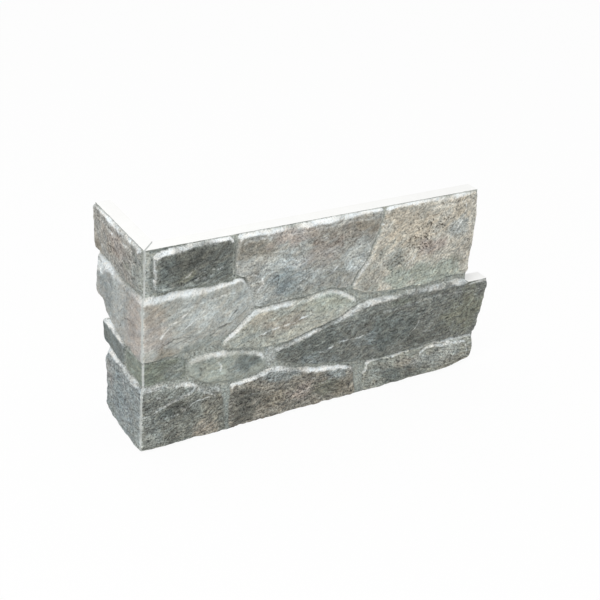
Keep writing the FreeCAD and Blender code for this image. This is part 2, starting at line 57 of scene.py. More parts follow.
# %% Camera
CAMERA_PLACE = (-0.29283, -0.63471, 0.50887)
CAMERA_TURN = 33.255
CAMERA_DIP = 28.772
CAMERA_ROLL = 4.849
CAMERA_LENS = 68.05

camera_data = bpy.data.cameras.new("camera")
camera_data.lens = CAMERA_LENS
camera_data.sensor_width = 36
camera = bpy.data.objects.new("camera", camera_data)
turned = Matrix.Rotation(-math.radians(CAMERA_TURN), 4, "Z")
tipped = Matrix.Rotation(math.radians(90 - CAMERA_DIP), 4, "X")
rolled = Matrix.Rotation(math.radians(CAMERA_ROLL), 4, "Z")
camera.matrix_world = Matrix.Translation(CAMERA_PLACE) @ turned @ tipped @ rolled
bpy.context.scene.collection.objects.link(camera)
bpy.context.scene.camera = camera
print("camera looks", CAMERA_DIP, "degrees down")

# %% [markdown]
# ## The sheet
# Places on the tile are given in millimetres: how far along a leg from the outer arris, and how far
# up from the foot. The heights of the joints and the ends of the legs are named once, as a mason
# would name the courses, and every stone is written with them. They are the ones of the CAD model,
# and so are the thickness of the body, the glue and the reliefs. `CLEAR` is how far the glue moves a
# mitred end along its leg, and `BEYOND` is a place well past the arris.

# %% Courses and ends of the tile
THIN, LOW, MID, HIGH, TOP = 55.0, 76.0, 101.0, 129.5, 165.0
TOE, BASE, STEP = 30.0, 42.0, 81.0
FIRST, SECOND = 67.0, 190.0
UPPER_END, LOWER_END, FOOT_END = 287.0, 311.0, 305.0
CAP_END, QUOIN_END, THIN_END, HEEL_END = 86.0, 81.0, 68.0, 64.0
BODY, FILM, SETBACK = 11.0, 1.2, 1.5
PROUD, MAIN, SHALLOW, FLAKE = 3.6, 2.8, 1.4, 0.8
CLEAR = FILM / math.sqrt(2)
BEYOND = -20.0

FRONT_END = [
    (FOOT_END - 24, 0), (FOOT_END - 0.5, 4), (FOOT_END + 1, 15), (FOOT_END, TOE),
    (LOWER_END - 5.5, TOE + 15), (LOWER_END - 2, STEP - 20), (LOWER_END, STEP - 0.5),
    (UPPER_END + 4, STEP + 0.5), (UPPER_END, STEP + 3), (UPPER_END - 0.5, MID + 4),
    (UPPER_END + 0.8, MID + 22), (UPPER_END, HIGH + 12), (UPPER_END - 2, TOP),
]
RETURN_END = [
    (HEEL_END - 16, 0), (HEEL_END - 0.5, 4), (HEEL_END + 0.5, 12), (HEEL_END - 2, 22),
    (HEEL_END, 27), (HEEL_END - 3, THIN - 17), (HEEL_END + 2.5, THIN - 11.5),
    (HEEL_END - 4, THIN + 1), (HEEL_END - 4, THIN + 4.6), (THIN_END - 1.5, THIN + 6),
    (THIN_END + 1, LOW - 0.5), (THIN_END - 1, LOW + 2), (THIN_END - 10.5, LOW + 6.5),
    (THIN_END - 5, MID - 14), (QUOIN_END - 14, MID - 9), (QUOIN_END - 4, MID - 7.5),
    (QUOIN_END + 1, MID - 4), (QUOIN_END - 2.5, HIGH - 10), (QUOIN_END - 3.5, HIGH + 1.5),
    (CAP_END - 5, HIGH + 2.5), (CAP_END - 1, HIGH + 12), (CAP_END + 1, TOP - 15),
    (CAP_END - 0.5, TOP),
]

# %% [markdown]
# ## The stones
# Each stone is a plateau. Its corners are written twice in one line: where the foot of its edge
# lies on the joint, and how far the crown is drawn in from there. The stones at the arris run on
# past it, because the mould pressed them before the tile was cut. Two stones with the same seed are
# one stone on both legs. A stone also carries its looks: the main colour of its glaze, how strongly
# it is speckled, how rough it is, how many pits it has, how pale its upper edge is, and the lean in
# degrees of the layers that it was split along. Some corners, and the front leg's free end below its
# step, are drawn nearer to the photograph than in the CAD model, by up to about 3 mm and always
# inside its box.

# %% Outlines of the stones
Stone = namedtuple("Stone", "name seed relief colour grain rough pits pale lean corners")
STRAIGHT = 3.5


def quoin_top(top, fall):
    """Two corners of a top edge that runs on past the arris, level for a short way beside it."""
    return [(BEYOND, top, 0, fall), (STRAIGHT, top, 0, fall)]


def quoin_bottom(bottom, rise):
    """The same for a bottom edge, in the order that closes the outline."""
    return [(STRAIGHT, bottom, 0, rise), (BEYOND, bottom, 0, rise)]


def drawn_in(corners, along, up):
    """Corners of the free end, each with the same inset from foot to crown."""
    return [(*corner, along, up) for corner in corners]


FRONT_STONES = [
    Stone("cap", 1, PROUD, "#666964", 0.95, 1.0, 0.0, 1.0, 22, [
        (6, HIGH + 1.5, 2.0, 3.0), (6, TOP - 3.8, 1.8, -2.4), (18, TOP - 1.5, 0.5, -4.2),
        (36, TOP - 0.6, 0.5, -2.4), (FIRST - 0.5, TOP - 0.4, -1.4, -1.6),
        (FIRST + 0.5, HIGH + 1.0, -1.6, 2.0), (38, HIGH + 0.8, 0, 3.2),
    ]),
    Stone("upper_quoin", 2, MAIN, "#A7A9A4", 0.42, 0.5, 0.0, 0.68, 30, quoin_top(HIGH - 1, -6) + [
        (20, HIGH + 0.2, 0, -5.4), (38, HIGH - 0.2, 0, -5.6), (52, HIGH - 1.4, 0, -3.6),
        (FIRST + 10, HIGH + 0.3, -1.2, -1.6), (FIRST + 14.5, HIGH - 10, -1.2, 0),
        (FIRST + 20, MID + 0.8, -1.4, 0), (FIRST + 19.6, MID - 1.0, -1.4, 0.4),
        (FIRST + 11, MID - 6.5, -1.4, 1.4), (FIRST + 2, MID - 14.5, -2.0, 2.0),
        (FIRST - 6, LOW + 6, -6.0, 6.0), (FIRST - 7.5, LOW + 1.8, -6.5, 7.0),
        (30, LOW + 0.8, -1.5, 4.2),
    ] + quoin_bottom(LOW + 0.4, 1.2)),
    Stone("thin_quoin", 3, SHALLOW, "#747A70", 0.7, 0.8, 0.0, 0.2, 12, quoin_top(LOW - 0.7, -1.2) + [
        (31, LOW - 0.5, -1.0, -1.2), (33, LOW - 8, -1.4, 0), (33, THIN + 0.6, -1.4, 1.2),
        (20, THIN + 1.2, 0, 1.0),
    ] + quoin_bottom(THIN + 1.4, 0.8)),
    Stone("lower_quoin", 4, PROUD - 0.4, "#7B7E78", 1.15, 1.1, 0.2, 0.85, 18, quoin_top(THIN, -4) + [
        (20, THIN - 0.8, 0, -3.0), (38, THIN - 4.6, -1.0, -2.8), (46, BASE + 3, -1.5, -2.8),
        (FIRST - 6.5, BASE - 0.8, -1.5, -3.2), (FIRST - 4, BASE - 4, -2.2, -1.0),
        (FIRST - 0.2, 14, -2.6, 0), (FIRST - 0.6, 0, -2.6, 1.6), (36, 0, 0, 2.4),
    ] + quoin_bottom(0, 1.6)),
    Stone("long", 5, MAIN, "#A3A49F", 0.65, 0.8, 0.25, 0.95, 24, [
        (FIRST + 2, TOP - 0.6, 2.6, -3.6), (120, TOP - 0.6, 0, -3.6), (160, TOP - 0.6, 0, -4.0),
        (SECOND - 14, TOP - 0.5, 0, -2.4), (SECOND + 5.5, TOP - 0.3, -1.6, -1.2),
        (SECOND + 2.5, HIGH + 20, -1.4, 0), (SECOND - 2.4, HIGH + 3, -1.4, 0),
        (SECOND - 10.4, HIGH - 12, -1.4, 0), (SECOND - 21.4, MID + 0.8, -1.2, 1.0),
        (SECOND - 28, MID + 2.0, -0.6, 1.4), (SECOND - 35, MID + 4.2, 0, 1.4),
        (125, MID + 1.8, 0, 1.4), (FIRST + 21, MID + 0.9, 1.2, 1.3),
        (FIRST + 15.6, HIGH - 9.6, 1.2, 0), (FIRST + 11.2, HIGH + 0.6, 1.2, 0.4),
        (FIRST + 3, HIGH + 2, 1.8, 0),
    ]),
    Stone("lens", 6, MAIN, "#ABADA4", 0.62, 0.65, 0.1, 0.6, 20, [
        (FIRST + 21, MID - 0.3, 1.0, -4.0), (125, MID + 0.6, 0, -4.6),
        (SECOND - 36, MID + 3.0, -1.0, -3.6), (SECOND - 29.5, MID + 0.6, -1.6, -3.0),
        (SECOND - 17.5, MID - 6.6, -1.8, -2.4), (SECOND - 9, MID - 13, -2.2, -0.4),
        (SECOND - 18, LOW + 5.5, -1.6, 1.2), (SECOND - 31, LOW, -0.5, 1.3),
        (136, LOW - 5.6, 0, 1.3), (126, LOW - 8.4, 0, 1.3), (105, LOW - 10, 0, 1.4),
        (90, LOW - 9, 0.3, 1.4), (77, LOW - 5.4, 0.6, 1.4), (FIRST - 5, LOW - 2.4, 2.2, 1.4),
        (FIRST - 5.2, LOW + 3.6, 2.6, 0), (FIRST + 3, MID - 14.8, 2.4, -2.4),
        (FIRST + 11.6, MID - 7, 1.6, -3.4),
    ]),
    Stone("small_lens", 7, MAIN, "#929790", 0.45, 0.7, 0.0, 0.7, 10, [
        (34.3, LOW - 6, 2.0, -1.6), (40, LOW - 4.2, 0.6, -3.4), (60, LOW - 4.2, 0, -3.8),
        (75, LOW - 6.8, -0.5, -3.6), (92, LOW - 12.6, -1.5, -3.0), (99, LOW - 17, -3.4, -1.0),
        (101, BASE + 6, -3.6, 2.0), (98, BASE + 2, -2.0, 3.6), (84, BASE + 0.8, 0, 4.2),
        (FIRST - 5, BASE + 1.2, 0, 4.4), (52, BASE + 4, 0.5, 3.4), (42, THIN - 4, 1.0, 2.2),
        (35, THIN + 1.5, 2.0, 1.2),
    ]),
    Stone("slate", 8, PROUD, "#747772", 1.05, 1.0, 0.1, 0.5, 16, [
        (107.4, THIN + 3, 2.0, 0.8), (108.4, LOW - 12.4, 2.0, -1.4), (117, LOW - 11, 1.0, -3.6),
        (127, LOW - 9.6, 0.6, -3.0), (137, LOW - 6.9, 0.6, -2.4),
        (SECOND - 30, LOW - 1.1, 0.8, -2.2), (SECOND - 18.6, LOW + 4.2, 1.5, -3.0),
        (SECOND - 10, LOW + 8.6, 1.5, -4.4), (206, LOW + 10, 0, -4.6), (224, LOW + 9.4, 0, -3.4),
        (230, LOW + 11.4, 0.5, -4.6), (240, LOW + 10.6, 0, -3.4), (252, LOW + 10.2, 0, -5.0),
        (279, LOW + 11.4, 0, -6.0),
        (*FRONT_END[8], -0.5, -3.0), (*FRONT_END[7], -0.5, -1.4), (*FRONT_END[6], -1.0, -1.0),
        (*FRONT_END[5], -1.2, 0), (*FRONT_END[4], -1.2, 0), (FOOT_END, TOE + 0.6, -1.4, 1.2),
        (275, TOE + 1.6, 0, 1.2), (252, TOE + 1.2, 0, 1.2), (240, TOE + 0.6, 0, 1.4),
        (200, TOE + 1.0, 0, 1.8), (SECOND - 4, TOE + 1.4, 0, 2.0), (150, TOE + 7.8, 0.4, 2.4),
        (130, TOE + 13.2, 0.8, 2.4), (118, TOE + 17.8, 1.0, 2.0), (109.5, TOE + 23, 2.0, 1.4),
    ]),
    Stone("beige", 9, MAIN, "#BEBBB1", 0.62, 0.65, 0.4, 0.8, 35, [
        (SECOND + 6.8, TOP - 0.6, 2.6, -1.6), (236, TOP - 0.6, 0, -1.8),
        (248, TOP - 0.4, 0, -3.8), (266, TOP - 0.2, 0, -4.0),
    ] + drawn_in(FRONT_END[12:13], -1.2, -1.2) + drawn_in(FRONT_END[11:8:-1], -1.2, 0) + [
        (UPPER_END - 0.3, LOW + 15, -1.2, 1.4), (268, LOW + 16, 0, 1.4),
        (250, LOW + 13.6, 0, 1.4), (240, LOW + 12.8, 0, 1.4), (228, LOW + 15.2, 0, 1.4),
        (215, LOW + 13.8, 0, 1.4), (SECOND + 1, LOW + 16.2, 0, 1.8),
        (SECOND - 9, MID - 6, 1.2, 1.8), (SECOND - 19.6, MID - 1.2, 2.0, 0.4),
        (SECOND - 8.8, HIGH - 12.4, 3.6, 0), (SECOND - 0.8, HIGH + 2.6, 3.6, 0),
        (SECOND + 4.0, HIGH + 20, 3.4, 0),
    ]),
    Stone("base", 10, MAIN, "#928F86", 1.15, 1.0, 0.4, 0.85, 8, [
        (FIRST + 2.2, BASE - 1, 1.6, -3.2), (88, BASE - 1, 0, -3.2), (97, BASE + 1, 0.5, -3.6),
        (103, BASE + 4.2, 0, -4.6), (110, BASE + 3.8, 0, -4.6), (126, BASE - 0.8, 0, -4.4),
        (150, BASE - 7.2, 0, -4.0), (166, BASE - 9.4, 0, -3.0), (176, BASE - 11.6, -0.5, -2.6),
        (SECOND - 8.5, BASE - 14.8, -1.8, -1.6), (SECOND - 5, 14, -2.2, 0),
        (SECOND - 2.5, 0, -2.2, 1.6), (130, 0, 0, 1.8), (FIRST + 1.8, 0, 2.0, 1.4),
    ]),
    Stone("toe", 11, MAIN, "#93958D", 1.1, 0.9, 0.2, 0.75, -20, [
        (SECOND + 3.5, TOE - 1, 2.2, -1.2), (230, TOE - 1, 0, -1.2), (252, TOE, 0, -1.2),
        (275, TOE + 0.4, 0, -1.2), (FOOT_END - 1, TOE - 0.8, -1.2, -2.4),
        (*FRONT_END[2], -1.2, 0), (*FRONT_END[1], -1.4, 1.4), (*FRONT_END[0], 0, 1.8),
        (232, 0, 0, 2.4), (SECOND + 4, 0, 1.8, 1.4), (SECOND + 2, 15, 2.2, 0),
    ]),
]
RETURN_STONES = [
    Stone("return_cap", 12, MAIN, "#9B9A95", 0.85, 0.9, 0.3, 1.0, -35, [
        (1.3, TOP - 0.5, 5.3, -2.4), (54, TOP - 0.5, 0, -3.2), (68, TOP - 0.3, 0, -1.6),
    ] + drawn_in(RETURN_END[:20:-1], -1.4, -1.0) + [
        (*RETURN_END[20], -1.4, 0), (*RETURN_END[19], -1.4, 1.6),
        (QUOIN_END - 5, HIGH + 2.6, 0, 1.8), (48, HIGH + 0.6, 0, 1.8),
        (36, HIGH - 0.6, 0, 1.8), (1.3, HIGH + 0.2, 5.2, 1.8),
    ]),
    Stone("return_quoin", 2, MAIN, "#9C9D9A", 0.42, 0.5, 0.0, 0.6, 30, quoin_top(HIGH - 1, -6) + [
        (36, HIGH - 1.8, 0, -4.0), (48, HIGH - 0.6, 0, -6.4), (66, HIGH + 0.6, -1.0, -7.4),
        (*RETURN_END[18], -1.4, -3.0), (*RETURN_END[17], -1.4, 0), (*RETURN_END[16], -1.4, 0.4),
        (*RETURN_END[15], -1.0, 1.2), (*RETURN_END[14], -1.2, 1.2), (*RETURN_END[13], -1.2, 1.2),
        (THIN_END - 11, LOW + 7, -1.4, 1.4), (44, LOW + 4.6, 0, 1.4), (30, LOW + 0.8, 0, 1.4),
    ] + quoin_bottom(LOW + 0.4, 1.2)),
    Stone("return_thin_quoin", 3, SHALLOW, "#7C837A", 0.55, 0.8, 0.0, 0.2, 12,
          quoin_top(LOW - 0.7, -1.2) + [
        (27, LOW - 0.6, -1.2, -1.6), (28, THIN + 8, -1.4, 0), (27, THIN + 2.2, -1.2, 1.0),
    ] + quoin_bottom(THIN + 1.4, 0.8)),
    Stone("return_thin_end", 13, MAIN, "#717877", 0.65, 0.8, 0.0, 1.0, -20, [
        (29, LOW - 0.4, 1.4, -2.2), (44, LOW + 3.6, 0, -5.0), (THIN_END - 11.5, LOW + 5.6, 0, -6.0),
        (*RETURN_END[11], -1.2, -3.0), (*RETURN_END[10], -1.4, -0.8), (*RETURN_END[9], -1.4, 1.2),
        (HEEL_END - 4.2, THIN + 5, -0.6, 1.2), (36, THIN + 2.8, 0, 1.2), (29, THIN + 2.4, 1.4, 1.2),
    ]),
    Stone("return_lower_quoin", 4, PROUD - 0.4, "#8C9394", 1.0, 1.1, 0.1, 0.65, 18, quoin_top(THIN, -4) + [
        (34, THIN + 1.2, 0, -3.4), (HEEL_END - 5, THIN + 3.4, -1.0, -6.0),
        (*RETURN_END[7], -1.2, -4.0), (*RETURN_END[6], -1.6, -0.6), (*RETURN_END[5], -1.4, 0),
        (*RETURN_END[4], -1.4, 0), (*RETURN_END[3], -1.4, 0), (*RETURN_END[2], -1.6, 0),
        (*RETURN_END[1], -1.6, 1.4), (*RETURN_END[0], 0, 2.0),
    ] + quoin_bottom(0, 1.6)),
]
print(len(FRONT_STONES), "stones on the front leg,", len(RETURN_STONES), "on the return leg")

# %% [markdown]
# ## Flakes and seams
# Split stone carries thin flakes that end in a low broken edge. Each is one more plateau, which
# stands less than a millimetre out of its stone. Its `rim` says how strongly its upper edge is painted
# pale, as paler glaze and as a painted highlight. A seam is a line across one stone: a crack is sunk
# and dark, a vein stands out and is pale. The dark lines at the foot of the upper quoin and along the
# cap's left edge are painted shadow lines, drawn as cracks. The one at the quoin is on both legs, so
# that the cut ends keep one profile. Both tables go by the name of the stone.

# %% Outlines of the flakes and seams
Flake = namedtuple("Flake", "rim corners")

FRONT_FLAKES = {
    "lower_quoin": Flake(0.35, [
        (7, 5, 1, 1), (6, BASE - 7, 1, -1), (24, BASE - 0.5, 0, -1.6), (35, BASE + 2.4, 0, -1.8),
        (39.5, BASE + 5.6, -1.0, -1.8), (48, BASE - 0.6, -1, -1), (FIRST - 9, BASE - 5, -1, -1),
        (FIRST - 6.5, 14, -1, 0), (FIRST - 7.5, 5, -1, 1),
    ]),
    "toe": Flake(0.8, [
        (246, TOE - 8, 1.4, 0), (253, TOE - 2.4, 0.6, -1.6), (274, TOE - 1.8, 0, -1.8),
        (FOOT_END - 8, TOE - 5.5, -0.5, -1.6), (FOOT_END - 3, 8, -1, 0), (280, 4.5, 0, 1),
        (262, 5.5, 0.6, 1), (257, 11, 1.6, 0),
    ]),
    "long": Flake(0.15, [
        (FIRST + 7, HIGH + 20, 0.6, 0), (FIRST + 7, TOP - 6, 0.6, -0.8), (160, TOP - 6, 0, -0.8),
        (SECOND - 3, TOP - 5.2, -0.8, -0.8), (SECOND - 4, HIGH + 18, -0.6, 1.2),
        (155, HIGH + 15, 0, 1.4), (118, HIGH + 11, 0, 1.4), (95, HIGH + 17, 0, 1.4),
    ]),
    "beige": Flake(0.1, [
        (234, HIGH + 18, 1.6, 0.4), (243, TOP - 6.5, 1.0, -1.0), (266, TOP - 6.5, 0, -1.0),
        (UPPER_END - 5, TOP - 5, -1, -0.8), (UPPER_END - 4, HIGH - 8, -1, 0),
        (262, HIGH - 16, 0, 1.2), (243, HIGH - 10, 1, 1), (232, HIGH + 4, 1.6, 0),
    ]),
    "slate": Flake(0.1, [
        (SECOND + 12, LOW - 3, 1.4, -0.8), (222, LOW - 1.6, 0, -1.4), (246, LOW + 1.4, 0, -1.2),
        (LOWER_END - 8, LOW - 0.8, -1, -0.8), (LOWER_END - 9, TOE + 17, -1, 0),
        (FOOT_END - 20, TOE + 6, 0, 1.2), (240, TOE + 8, 0, 1.2), (SECOND + 22, TOE + 20, 1.6, 0),
    ]),
    "upper_quoin": Flake(0.0, [
        (10, MID + 7, 0.8, -0.4), (24, MID + 14, 0, -1.0), (FIRST, HIGH - 8, -0.8, -1),
        (FIRST + 11, HIGH - 14, -1, 0), (FIRST + 14, MID + 3, -1, 0.6), (FIRST + 1, MID - 6, -0.6, 1),
        (38, LOW + 15, 0, 1.2), (15, LOW + 9, 0.6, 1),
    ]),
}
RETURN_FLAKES = {
    "return_cap": Flake(0.0, [
        (11, HIGH + 8, 0.8, 0.8), (11, TOP - 7, 0.8, -0.8), (CAP_END - 38, TOP - 7.5, 0, -0.8),
        (CAP_END - 8, TOP - 5, -0.8, -0.8), (CAP_END - 7, HIGH + 17, -0.8, 0.6),
        (CAP_END - 28, HIGH + 10, 0, 1.4), (40, HIGH + 13, 0, 1.2),
    ]),
}

Seam = namedtuple("Seam", "kind points")


def named_rows(row_type, table):
    """The same table, with each row made a named one."""
    return {stone: [row_type(*row) for row in rows] for stone, rows in table.items()}


FRONT_SEAMS = named_rows(Seam, {
    "cap": [
        ("vein", [(27, 137), (32, 141), (39, 145.5)]),
        # painted shadow line along the cap's left edge, drawn as a crack
        ("crack", [(6.4, 131), (6.2, 142), (6.4, 158)]),
        ("crack", [(9, 141), (22, 149), (41, 152), (58, 148)]),
        ("crack", [(30, 134), (46, 141), (61, 140)]),
    ],
    "upper_quoin": [
        ("vein", [(12, 95), (18, 103), (27, 109), (38, 117)]),
        ("crack", [(9, 86), (20, 92), (33, 91), (42, 96)]),
        ("vein", [(26, 98), (38, 104), (52, 103)]),
        ("crack", [(48, 88), (62, 94), (72, 105)]),
        # painted shadow line under the upper quoin, drawn as a crack
        ("crack", [(-2, 77), (12, 77.1), (34, 77.8)]),
    ],
    "lower_quoin": [
        ("vein", [(23, 40), (32, 41.5), (38, 45), (40, 50)]),
        ("vein", [(31, 29), (42, 35), (54, 37)]),
        ("crack", [(5, 30), (16, 36), (30, 33), (40, 25)]),
    ],
    "long": [
        ("vein", [(84, 131), (91, 129), (93, 122), (88, 116)]),
        ("crack", [(96, 133), (106, 124), (104, 112)]),
        ("crack", [(128, 146), (144, 150), (158, 143)]),
        ("vein", [(124, 118), (140, 124), (152, 120), (166, 127)]),
    ],
    "lens": [
        ("crack", [(94, 86), (116, 92), (138, 90)]),
        ("vein", [(86, 76), (102, 81), (122, 83), (137, 88)]),
    ],
    "small_lens": [("vein", [(59, 67), (61, 60), (58, 52)]), ("crack", [(41, 66), (45, 60), (44, 56)])],
    "slate": [
        ("crack", [(196, 62), (220, 70), (244, 66), (272, 72)]),
        ("vein", [(148, 49), (166, 56), (184, 54), (198, 58)]),
        ("vein", [(231, 42), (240, 50), (242, 60)]),
        ("crack", [(254, 46), (272, 52), (292, 50)]),
    ],
    "beige": [
        ("vein", [(262, 126), (272, 144), (275, 157)]),
        ("vein", [(216, 100), (221, 112), (232, 118)]),
    ],
    "base": [("crack", [(94, 29), (120, 24), (152, 27)])],
    "toe": [
        ("vein", [(243, 11), (246, 20), (256, 27), (274, 28), (291, 24)]),
        ("vein", [(193.2, 2), (192.6, 14), (194.2, 27)]),
        ("crack", [(205, 12), (218, 20), (232, 22)]),
    ],
})
RETURN_SEAMS = named_rows(Seam, {
    "return_cap": [
        ("vein", [(18, 137), (33, 148), (50, 156)]),
        ("crack", [(10, 152), (25, 144), (46, 147), (66, 142)]),
    ],
    "return_quoin": [
        ("vein", [(48, 108), (62, 117), (75, 122)]),
        ("crack", [(14, 104), (28, 98), (40, 84)]),
        # painted shadow line under the upper quoin, drawn as a crack
        ("crack", [(-2, 77), (12, 77.1), (24, 78.4)]),
    ],
    "return_lower_quoin": [
        ("vein", [(27, 43), (41, 49), (54, 51)]),
        ("crack", [(12, 22), (30, 31), (48, 27)]),
    ],
})
print(len(FRONT_FLAKES), "flakes and", sum(map(len, FRONT_SEAMS.values())), "seams on the front leg")

# %% [markdown]
# ## Glaze colours
# The glaze is printed with several inks, so its colour changes softly inside a stone. Each patch is
# a tilted oval: its centre, its two half widths, its tilt, its ink and its strength.
# Noise of two sizes breaks each oval up into blotches. Pits cluster in ovals of the same kind. Two
# groups belong to the joints: `joint` tints them and fills them up, and `shade` only tints them darker, as
# painted shade beside and under the stones.

# %% Inks and patches
INKS = {
    "charcoal": "#585A54", "graphite": "#666D6A", "olive": "#77796C", "umber": "#7F796C",
    "moss": "#767D72", "ash": "#8E9490", "steel": "#8B9597", "putty": "#9C958A",
    "rose": "#AAA099", "sage": "#A8AEA4", "silver": "#AFB4B2", "sand": "#BFB7A8", "frost": "#D5DADB",
}
Patch = namedtuple("Patch", "along up half_along half_up tilt ink strength")
FRONT_PATCHES = named_rows(Patch, {
    # painted shade in the joints: above and left of the cap, under the cap and under the beige
    "shade": [
        (12, 163.6, 15, 2.6, 0, "graphite", 1.0), (5, 146, 2.4, 15, 0, "graphite", 0.6),
        (250, 90.5, 50, 1.8, 3, "graphite", 0.6), (36, 130, 34, 1.6, 0, "moss", 0.5),
    ],
    "joint": [
        (84, 116, 6, 16, 0, "silver", 1.0), (62, 82, 14, 8, 35, "ash", 0.6),
        (88, 68, 20, 5, 0, "ash", 0.5), (172, 101, 13, 6, 20, "ash", 0.6),
        (102, 57, 6, 9, 0, "silver", 0.8), (35, 62, 5, 9, 0, "moss", 0.45),
        (2, 148, 4, 18, 0, "silver", 0.3), (34, 129, 30, 4, 0, "ash", 0.4),
        (68, 18, 8, 30, 0, "ash", 1.0), (190, 14, 7, 18, 0, "ash", 0.4),
    ],
    "cap": [
        (34, 152, 24, 9, 0, "charcoal", 0.8), (52, 138, 16, 9, 0, "graphite", 0.7),
        (14, 148, 9, 14, 0, "graphite", 0.7), (33, 141, 12, 3, 30, "olive", 0.7),
        (14, 132.4, 20, 4.0, -3, "ash", 1.0), (46, 131.6, 26, 2.8, 0, "ash", 0.9),
    ],
    "upper_quoin": [
        (4, 97, 14, 20, 0, "rose", 0.55), (9, 116, 8, 9, 0, "putty", 0.6),
        (14, 80, 13, 6, 0, "umber", 0.7), (47, 107, 24, 14, 0, "silver", 0.8),
        (44, 82, 20, 6, 12, "ash", 0.9), (79, 114, 8, 12, 0, "silver", 0.7),
        (60, 118, 14, 5, 0, "ash", 0.3),
    ],
    "thin_quoin": [(6, 62, 9, 8, 0, "moss", 0.7), (25, 65, 9, 9, 20, "ash", 0.7)],
    "lower_quoin": [
        (6, 16, 9, 20, 0, "steel", 0.3), (20, 48, 22, 5, -4, "ash", 0.9),
        (27, 33, 9, 7, 0, "charcoal", 0.8), (56, 26, 10, 18, 0, "umber", 0.4),
        (48, 8, 13, 7, 0, "putty", 0.8), (14, 30, 7, 6, 0, "graphite", 0.6),
    ],
    "long": [
        (84, 153, 16, 10, 0, "umber", 0.6), (118, 155, 22, 7, 0, "rose", 0.7),
        (114, 122, 24, 15, 0, "steel", 0.9), (94, 127, 9, 14, -20, "silver", 0.8),
        (171, 121, 8, 5, 30, "frost", 0.7), (120, 134, 12, 4, 0, "frost", 0.4),
        (90, 110, 10, 8, 0, "silver", 0.9), (162, 152, 32, 10, 0, "putty", 0.7),
        (142, 138, 18, 12, 20, "rose", 0.5), (158, 114, 16, 9, 0, "graphite", 0.45),
        (172, 126, 12, 10, 40, "silver", 0.9), (134, 121, 16, 8, -15, "silver", 0.6),
        (126, 105, 34, 4, 3, "ash", 0.7), (112, 141, 12, 7, 0, "silver", 0.6),
        (181, 156, 12, 8, 0, "umber", 0.5),
    ],
    "lens": [
        (155, 92, 26, 9, 0, "sage", 0.9), (116, 83, 20, 8, 12, "putty", 0.8),
        (82, 76, 20, 6, 0, "ash", 0.6), (92, 93, 12, 5, 0, "sand", 0.4),
    ],
    "small_lens": [
        (82, 56, 13, 7, 0, "steel", 0.6), (87, 58, 13, 7, 0, "graphite", 0.8),
        (56, 56, 12, 7, 0, "sage", 0.4),
    ],
    "slate": [
        (146, 58, 36, 14, 12, "graphite", 0.6), (181, 70, 16, 9, 0, "ash", 0.6),
        (214, 58, 24, 16, 0, "graphite", 0.8), (290, 58, 20, 20, 0, "olive", 0.9),
        (226, 78, 14, 4, 0, "moss", 0.6), (150, 42, 26, 5, -12, "steel", 0.35),
        (252, 42, 20, 9, 0, "charcoal", 0.5), (190, 52, 12, 7, 0, "steel", 0.4),
    ],
    "beige": [
        (226, 140, 28, 18, 15, "sand", 0.9), (268, 152, 16, 11, 0, "sand", 0.7),
        (270, 136, 9, 8, 0, "silver", 0.8), (240, 99, 46, 12, 0, "sage", 1.0),
        (186, 104, 14, 14, 0, "ash", 0.4), (211, 123, 12, 10, 0, "ash", 0.7),
        (206, 157, 11, 6, 0, "sand", 0.7), (246, 124, 12, 8, 0, "rose", 0.8),
        (280, 112, 9, 14, 0, "putty", 0.4),
    ],
    "base": [
        (110, 17, 13, 7, 0, "umber", 0.7), (133, 17, 12, 8, 0, "rose", 0.6),
        (156, 15, 13, 7, 0, "olive", 0.7), (82, 20, 14, 16, 0, "charcoal", 0.7),
        (164, 28, 18, 6, -8, "steel", 0.7), (112, 38, 18, 5, -6, "steel", 0.7),
        (178, 10, 9, 9, 0, "umber", 0.5),
    ],
    "toe": [
        (207, 19, 13, 11, 0, "ash", 0.6), (234, 17, 11, 8, 0, "putty", 0.6),
        (272, 18, 24, 9, 0, "silver", 0.6), (290, 7, 16, 6, 0, "umber", 0.5),
        (222, 9, 12, 8, 0, "graphite", 0.8), (248, 7, 9, 6, 0, "charcoal", 0.6),
    ],
})
RETURN_PATCHES = named_rows(Patch, {
    "return_cap": [
        (8, 148, 9, 18, 0, "ash", 0.7), (76, 134, 9, 6, 0, "umber", 0.7),
        (52, 145, 6, 5, 0, "putty", 0.7), (21, 143, 7, 4, 0, "olive", 0.6),
        (40, 151, 16, 7, 0, "rose", 0.6),
    ],
    "return_quoin": [
        (8, 97, 18, 24, 0, "rose", 0.6), (61, 110, 15, 16, 0, "steel", 0.6),
        # the two frost patches paint the quoin's upward top flank pale: paler glaze and a painted
        # highlight
        (36, 104, 14, 20, 0, "silver", 0.4), (64, 123, 13, 6, -18, "frost", 1.0),
        (65, 125, 17, 7, -18, "frost", 0.8),
    ],
    "return_thin_quoin": [(6, 62, 9, 8, 0, "moss", 0.6)],
    "return_thin_end": [(58, 68, 10, 9, 0, "graphite", 0.5)],
    "return_lower_quoin": [
        (57, 34, 11, 12, 0, "rose", 0.3), (36, 32, 13, 14, 0, "steel", 0.9),
        (56, 10, 10, 8, 0, "graphite", 0.5), (6, 16, 9, 20, 0, "ash", 0.5),
        (15, 46, 10, 6, 0, "steel", 0.7),
    ],
})
PITTED = {
    "beige": Patch(234, 134, 40, 13, 34, "", 1.0), "long": Patch(160, 146, 26, 9, 0, "", 0.6),
    "base": Patch(128, 18, 34, 10, 0, "", 0.7), "return_cap": Patch(40, 145, 34, 10, 0, "", 0.5),
}
JOINT_COLOUR = "#9DA19B"
# colour of pale edges: paler glaze and painted highlight
PALE_GLAZE_AND_HIGHLIGHT = "#EEF1F1"
ARRIS_COLOUR = "#C6CAC6"
print(len(INKS), "inks and", sum(map(len, FRONT_PATCHES.values())), "patches on the front leg")

